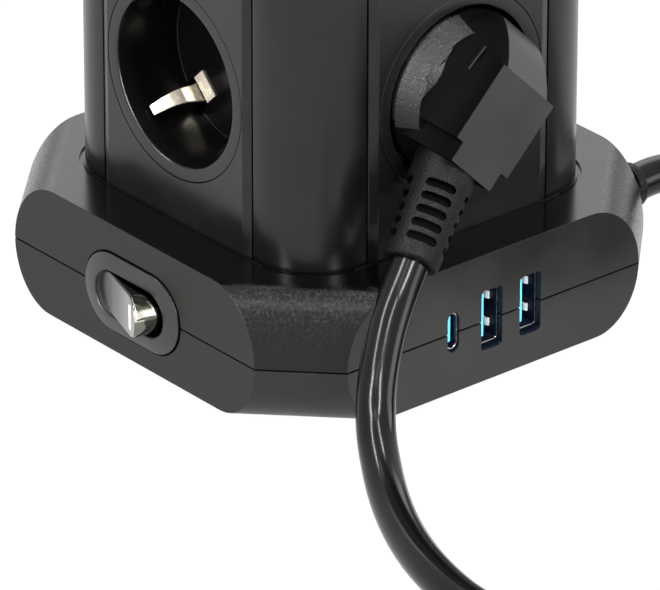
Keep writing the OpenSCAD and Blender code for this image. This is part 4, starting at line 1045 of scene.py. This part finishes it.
def make_plug():
    face = PLUG_FACE
    disc_profile = [(0, face), (18.6, face), (DISC_R, face + 0.7), (DISC_R, -0.9), (DISC_R - 0.1, -0.6),
                    (DISC_R - 0.3, -0.1), (16.4, 5.0), (16.0, 5.35), (15.4, 5.5), (0, 5.5)]
    body = new_piece("plug_disc", *lathe(disc_profile, FINE_STEPS))
    top = [(x, y, GRIP_TOP) for foot, (x, y) in GRIP_LINES]
    sides = [[(x, y, 0.5) for x, y, z in grip_side(0)]]
    sides += [grip_side(i / GRIP_STEPS) for i in range(GRIP_STEPS + 1)]
    grip = new_piece("grip", *stack([whole_ring(side) for side in sides + [top]]))
    within = DISC_R - 0.25
    combine(grip, lathe([(0, 0), (within, 0), (within, 20), (0, 20)], FINE_STEPS), "INTERSECT")
    grip_verts = [tuple(v.co / MM) for v in grip.data.vertices]
    grip_faces = [tuple(f.vertices) for f in grip.data.polygons]
    drop(grip)
    combine(body, (grip_verts, grip_faces), "UNION")
    neck = [[(NECK_BACK, -12.4, 0.5), (16.2, -9.8, 0.5), (16.2, 9.8, 0.5), (NECK_BACK, 12.4, 0.5)]]
    for i in range(GRIP_STEPS + 1):
        hollow = (1 - i / GRIP_STEPS) ** HOLLOW
        z = NECK_FOOT + (GRIP_TOP - NECK_FOOT) * i / GRIP_STEPS
        low = z - 2.2 * hollow
        near = NECK_W + 4.4 * hollow
        end = NECK_W + 2.0 * hollow
        neck.append([
            (NECK_BACK, -near, z), (NECK_END, -end, low), (NECK_END, end, low), (NECK_BACK, near, z)])
    combine(body, stack(neck), "UNION")
    for s in (0, 180):
        combine(body, moved(box(*GUIDE_NOTCH, face - 1, -1.7), turn_z(90 + s)))
        combine(body, moved(box(*EARTH_NOTCH, face - 1, -1.2), turn_z(s)))
    bevel(body, 0.22, 2, 26)
    split_along(body, [((0, s * FIELD_AT, 0), (FIELD_SLOPE, s, 0)) for s in (-1, 1)])
    body.data.transform(in_metres(PLUG))
    to_plug = PLUG.inverted()

    # Plateau and back facet smooth, the edge band at the top a painted highlight, the field at the sides
    # grained, all else, the hollow, neck and disc edge, painted shade
    def pick(polygon):
        n = to_plug.to_3x3() @ polygon.normal
        c = to_plug @ (polygon.center / MM)
        if n.z > 0.9 and c.z > 15:
            return 1
        if c.z > 15.7 and n.z > 0.15:
            return 3
        if n.x < -0.35 and abs(n.y) < 0.3 and c.z > 3 and abs(c.y) < 5:
            return 1
        outside = abs(c.y) > FIELD_AT - FIELD_SLOPE * c.x or math.hypot(c.x, c.y) > 16.3
        return 0 if outside and c.z > -1.3 and -11.5 < c.x < 14 else 2
    settle(body, "plug", "plug_plastic", PLUG_GRAIN, PLUG_SMOOTH, PLUG_PAINTED_SHADE, PLUG_PAINTED_HIGHLIGHT,
           replaces=("plug_body",), pick=pick, angle=26)
    line = box(-9.6, -3.4, -0.1, 0.1, -0.3, 0.12)
    lines = [moved(line, PLUG @ shift(0, s * 12.0, 9.35) @ turn_y(5)) for s in (-1, 1)]
    settle(new_piece("mould_lines", *joined(*lines)), "plug", "plug_plastic", PLUG_SMOOTH)
    pin = lathe([(0, face - PIN_L), (1.0, face - 18.95), (1.8, face - 18.6), (2.25, face - 18.0),
                 (PIN_R, face - 17.2), (PIN_R, face + 7), (0, face + 7)], 40)
    pins = [moved(pin, PLUG @ shift(0, s * PIN_AT, 0)) for s in (-1, 1)]
    pins = new_piece("pins", *joined(*pins))
    settle(pins, "plug", "nickel", NICKEL, replaces=("plug_pins",))
    strips = [moved(box(15.2, 16.0, -2.3, 2.3, face, -1.6), PLUG @ turn_z(s)) for s in (0, 180)]
    strips = new_piece("earth_strips", *joined(*strips))
    bevel(strips, 0.15)
    settle(strips, "plug", "nickel", NICKEL, replaces=("plug_earth_strips",))
    return body, pins, strips


# Sleeves round the lead's ends: rows of four slots, cut down to a core
RELIEF_SLOTS = 5
RELIEF_PITCH = 3.143
RELIEF_SLOT = 1.95
RELIEF_CORE = 4.6
GLAND_SLOT = 1.3
GLAND_CORE = 4.7


def slotted_sleeve(name, profile, spots, slot, core, matrix, slot_half=3.55):
    sleeve = new_piece(name, *lathe(profile, 96))
    cutters = []
    for z in spots:
        for q in (45, 135, 225, 315):
            outline = stadium(2 * slot_half, slot, 6)
            cutter = stack([[(r, u, z + v) for u, v in outline] for r in (core, 12)])
            cutters.append(moved(cutter, turn_z(q)))
    combine(sleeve, joined(*cutters))
    bevel(sleeve, 0.18, 2, 35)
    sleeve.data.transform(in_metres(matrix))
    return sleeve


def make_relief():
    profile = [(0, -6), (7.3, -6), (7.35, 2.6), (7.15, 3.1), (6.3, 21.4), (5.9, 21.9), (4.6, 21.9),
               (4.5, 21.4), (0, 21.4)]
    spots = [RELIEF_PITCH * (i + 1.5) for i in range(RELIEF_SLOTS)]
    relief = slotted_sleeve("strain_relief", profile, spots, RELIEF_SLOT, RELIEF_CORE, RELIEF)
    to_relief = RELIEF.inverted()

    # Faces inside the slots get painted shade
    def pick(face):
        c = to_relief @ (face.center / MM)
        return 1 if math.hypot(c.x, c.y) < 6.8 - 0.046 * c.z and 3 < c.z < 20.5 else 0
    settle(relief, "plug", "plug_plastic", RELIEF_BLACK, PLUG_PAINTED_SHADE,
           replaces=("plug_strain_relief",), pick=pick)
    return relief


def make_gland():
    profile = [(0, -4.5), (8.2, -4.5), (8.2, -2.6), (5.6, -2.6), (5.6, 0.05), (6.3, 0.05), (6.3, 1.1),
               (6.0, 1.5), (5.35, 11.5), (5.1, 12.0), (4.6, 12.0), (4.5, 11.5), (0, 11.5)]
    gland = slotted_sleeve("lead_gland_skin", profile, [3, 5, 7, 9], GLAND_SLOT, GLAND_CORE, GLAND, 3.0)
    settle(gland, "root", "plug_plastic", RELIEF_BLACK, replaces=("lead_gland",))
    return gland


# Hidden and carried-over solids keep their shape and get a material
CARRIED = {
    "base_screws": STEEL, "column_screws": STEEL, "clamp_screws": STEEL, "switch_terminals": BRASS,
    "charging_board": BOARD, "board_parts": INNER, "cord_clamp": RELIEF_BLACK, "terminal_block": INNER,
    "inner_wires": LEAD_BLACK, "rail_carrier": INNER, "live_rail": BRASS, "neutral_rail": BRASS,
    "earth_rail": BRASS}


def dress_carried():
    for name, node in nodes.items():
        finish = SHUTTER if name.startswith("shutter_") else CARRIED.get(name)
        if finish:
            for slot in node.material_slots:
                slot.material = finish


# Stage: white floor, pale surroundings, soft lamps
FLOOR_TONE = 0.8
FLOOR_GLOW = 1.03
FLOOR_GLOW_SHARE = 0.965
FLOOR_HALF = 6000
WORLD_DIM = 0.3
# Azimuth and elevation in degrees, distance, width and height in metres, power in watts
LAMPS = [
    ("top", -44, 60, 1.5, 0.3, 0.3, 1),
    ("strip_left", -84, 30, 1.6, 0.12, 1.7, 42),
    ("strip_right", -8, 30, 1.6, 0.12, 1.7, 40),
    ("arch_left", -130, 62, 1.6, 1.3, 0.11, 18),
    ("arch_right", 50, 78, 1.6, 1.3, 0.11, 18),
    ("right", 44, 10, 0.9, 0.9, 0.3, 3.5),
    ("back", 140, 30, 2.5, 3.0, 1.2, 20)]
LAMP_AIM = Vector((0, 0, 0.06))


def camera_or_mirror(add, link):
    rays = add("ShaderNodeLightPath")
    seen = add("ShaderNodeMath")
    seen.operation = "ADD"
    seen.use_clamp = True
    link(rays.outputs["Is Camera Ray"], seen.inputs[0])
    link(rays.outputs["Is Glossy Ray"], seen.inputs[1])
    return seen.outputs[0]


def shining(node, color, strength):
    node.inputs["Color"].default_value = (*color, 1)
    node.inputs["Strength"].default_value = strength
    return node.outputs[0]


def make_floor():
    floor = new_piece("floor", *box(-FLOOR_HALF, FLOOR_HALF, -FLOOR_HALF, FLOOR_HALF, -20, -0.1))
    made = bpy.data.materials.new("floor_white")
    add, link = empty_tree(made)
    out = add("ShaderNodeOutputMaterial")
    mix = add("ShaderNodeMixShader")
    matt = add("ShaderNodeBsdfDiffuse")
    matt.inputs["Color"].default_value = (FLOOR_TONE, FLOOR_TONE, FLOOR_TONE, 1)
    share = add("ShaderNodeMath")
    share.operation = "MULTIPLY"
    share.inputs[1].default_value = FLOOR_GLOW_SHARE
    link(camera_or_mirror(add, link), share.inputs[0])
    link(share.outputs[0], mix.inputs["Fac"])
    link(matt.outputs["BSDF"], mix.inputs[1])
    link(shining(add("ShaderNodeEmission"), (1, 1, 1), FLOOR_GLOW), mix.inputs[2])
    link(mix.outputs["Shader"], out.inputs["Surface"])
    floor.data.materials.append(made)


def make_world():
    world = bpy.data.worlds.new("world")
    scene.world = world
    add, link = empty_tree(world)
    out = add("ShaderNodeOutputWorld")
    mix = add("ShaderNodeMixShader")
    link(camera_or_mirror(add, link), mix.inputs["Fac"])
    link(shining(add("ShaderNodeBackground"), (0.9, 0.95, 1.0), WORLD_DIM), mix.inputs[1])
    link(shining(add("ShaderNodeBackground"), (1, 1, 1), 1.0), mix.inputs[2])
    link(mix.outputs["Shader"], out.inputs["Surface"])


def make_lamp(name, az, el, distance, wide, tall, power):
    data = bpy.data.lights.new(name, "AREA")
    data.shape = "RECTANGLE"
    data.size = wide
    data.size_y = tall
    data.energy = power
    lamp = bpy.data.objects.new(name, data)
    scene.collection.objects.link(lamp)
    toward = direction(az, el)
    turn = toward.to_track_quat("Z", "Y").to_matrix().to_4x4()
    lamp.matrix_world = Matrix.Translation(LAMP_AIM + toward * distance) @ turn


make_camera()
scene.view_settings.view_transform = "Standard"
lead, lead_path = make_lead()
make_floor()
make_world()
for lamp in LAMPS:
    make_lamp(*lamp)

make_base()
make_feet()
make_posts()
make_panels()
make_cap()
make_sockets()
make_switch()
make_outlets()
plug_body, plug_pins, plug_strips = make_plug()
relief = make_relief()
gland = make_gland()
dress_carried()

lead.data.materials.append(LEAD_BLACK)
smooth(lead, 60)
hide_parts("lead_near", "lead_coil", "lead_far")
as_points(lead_path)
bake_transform(lead)
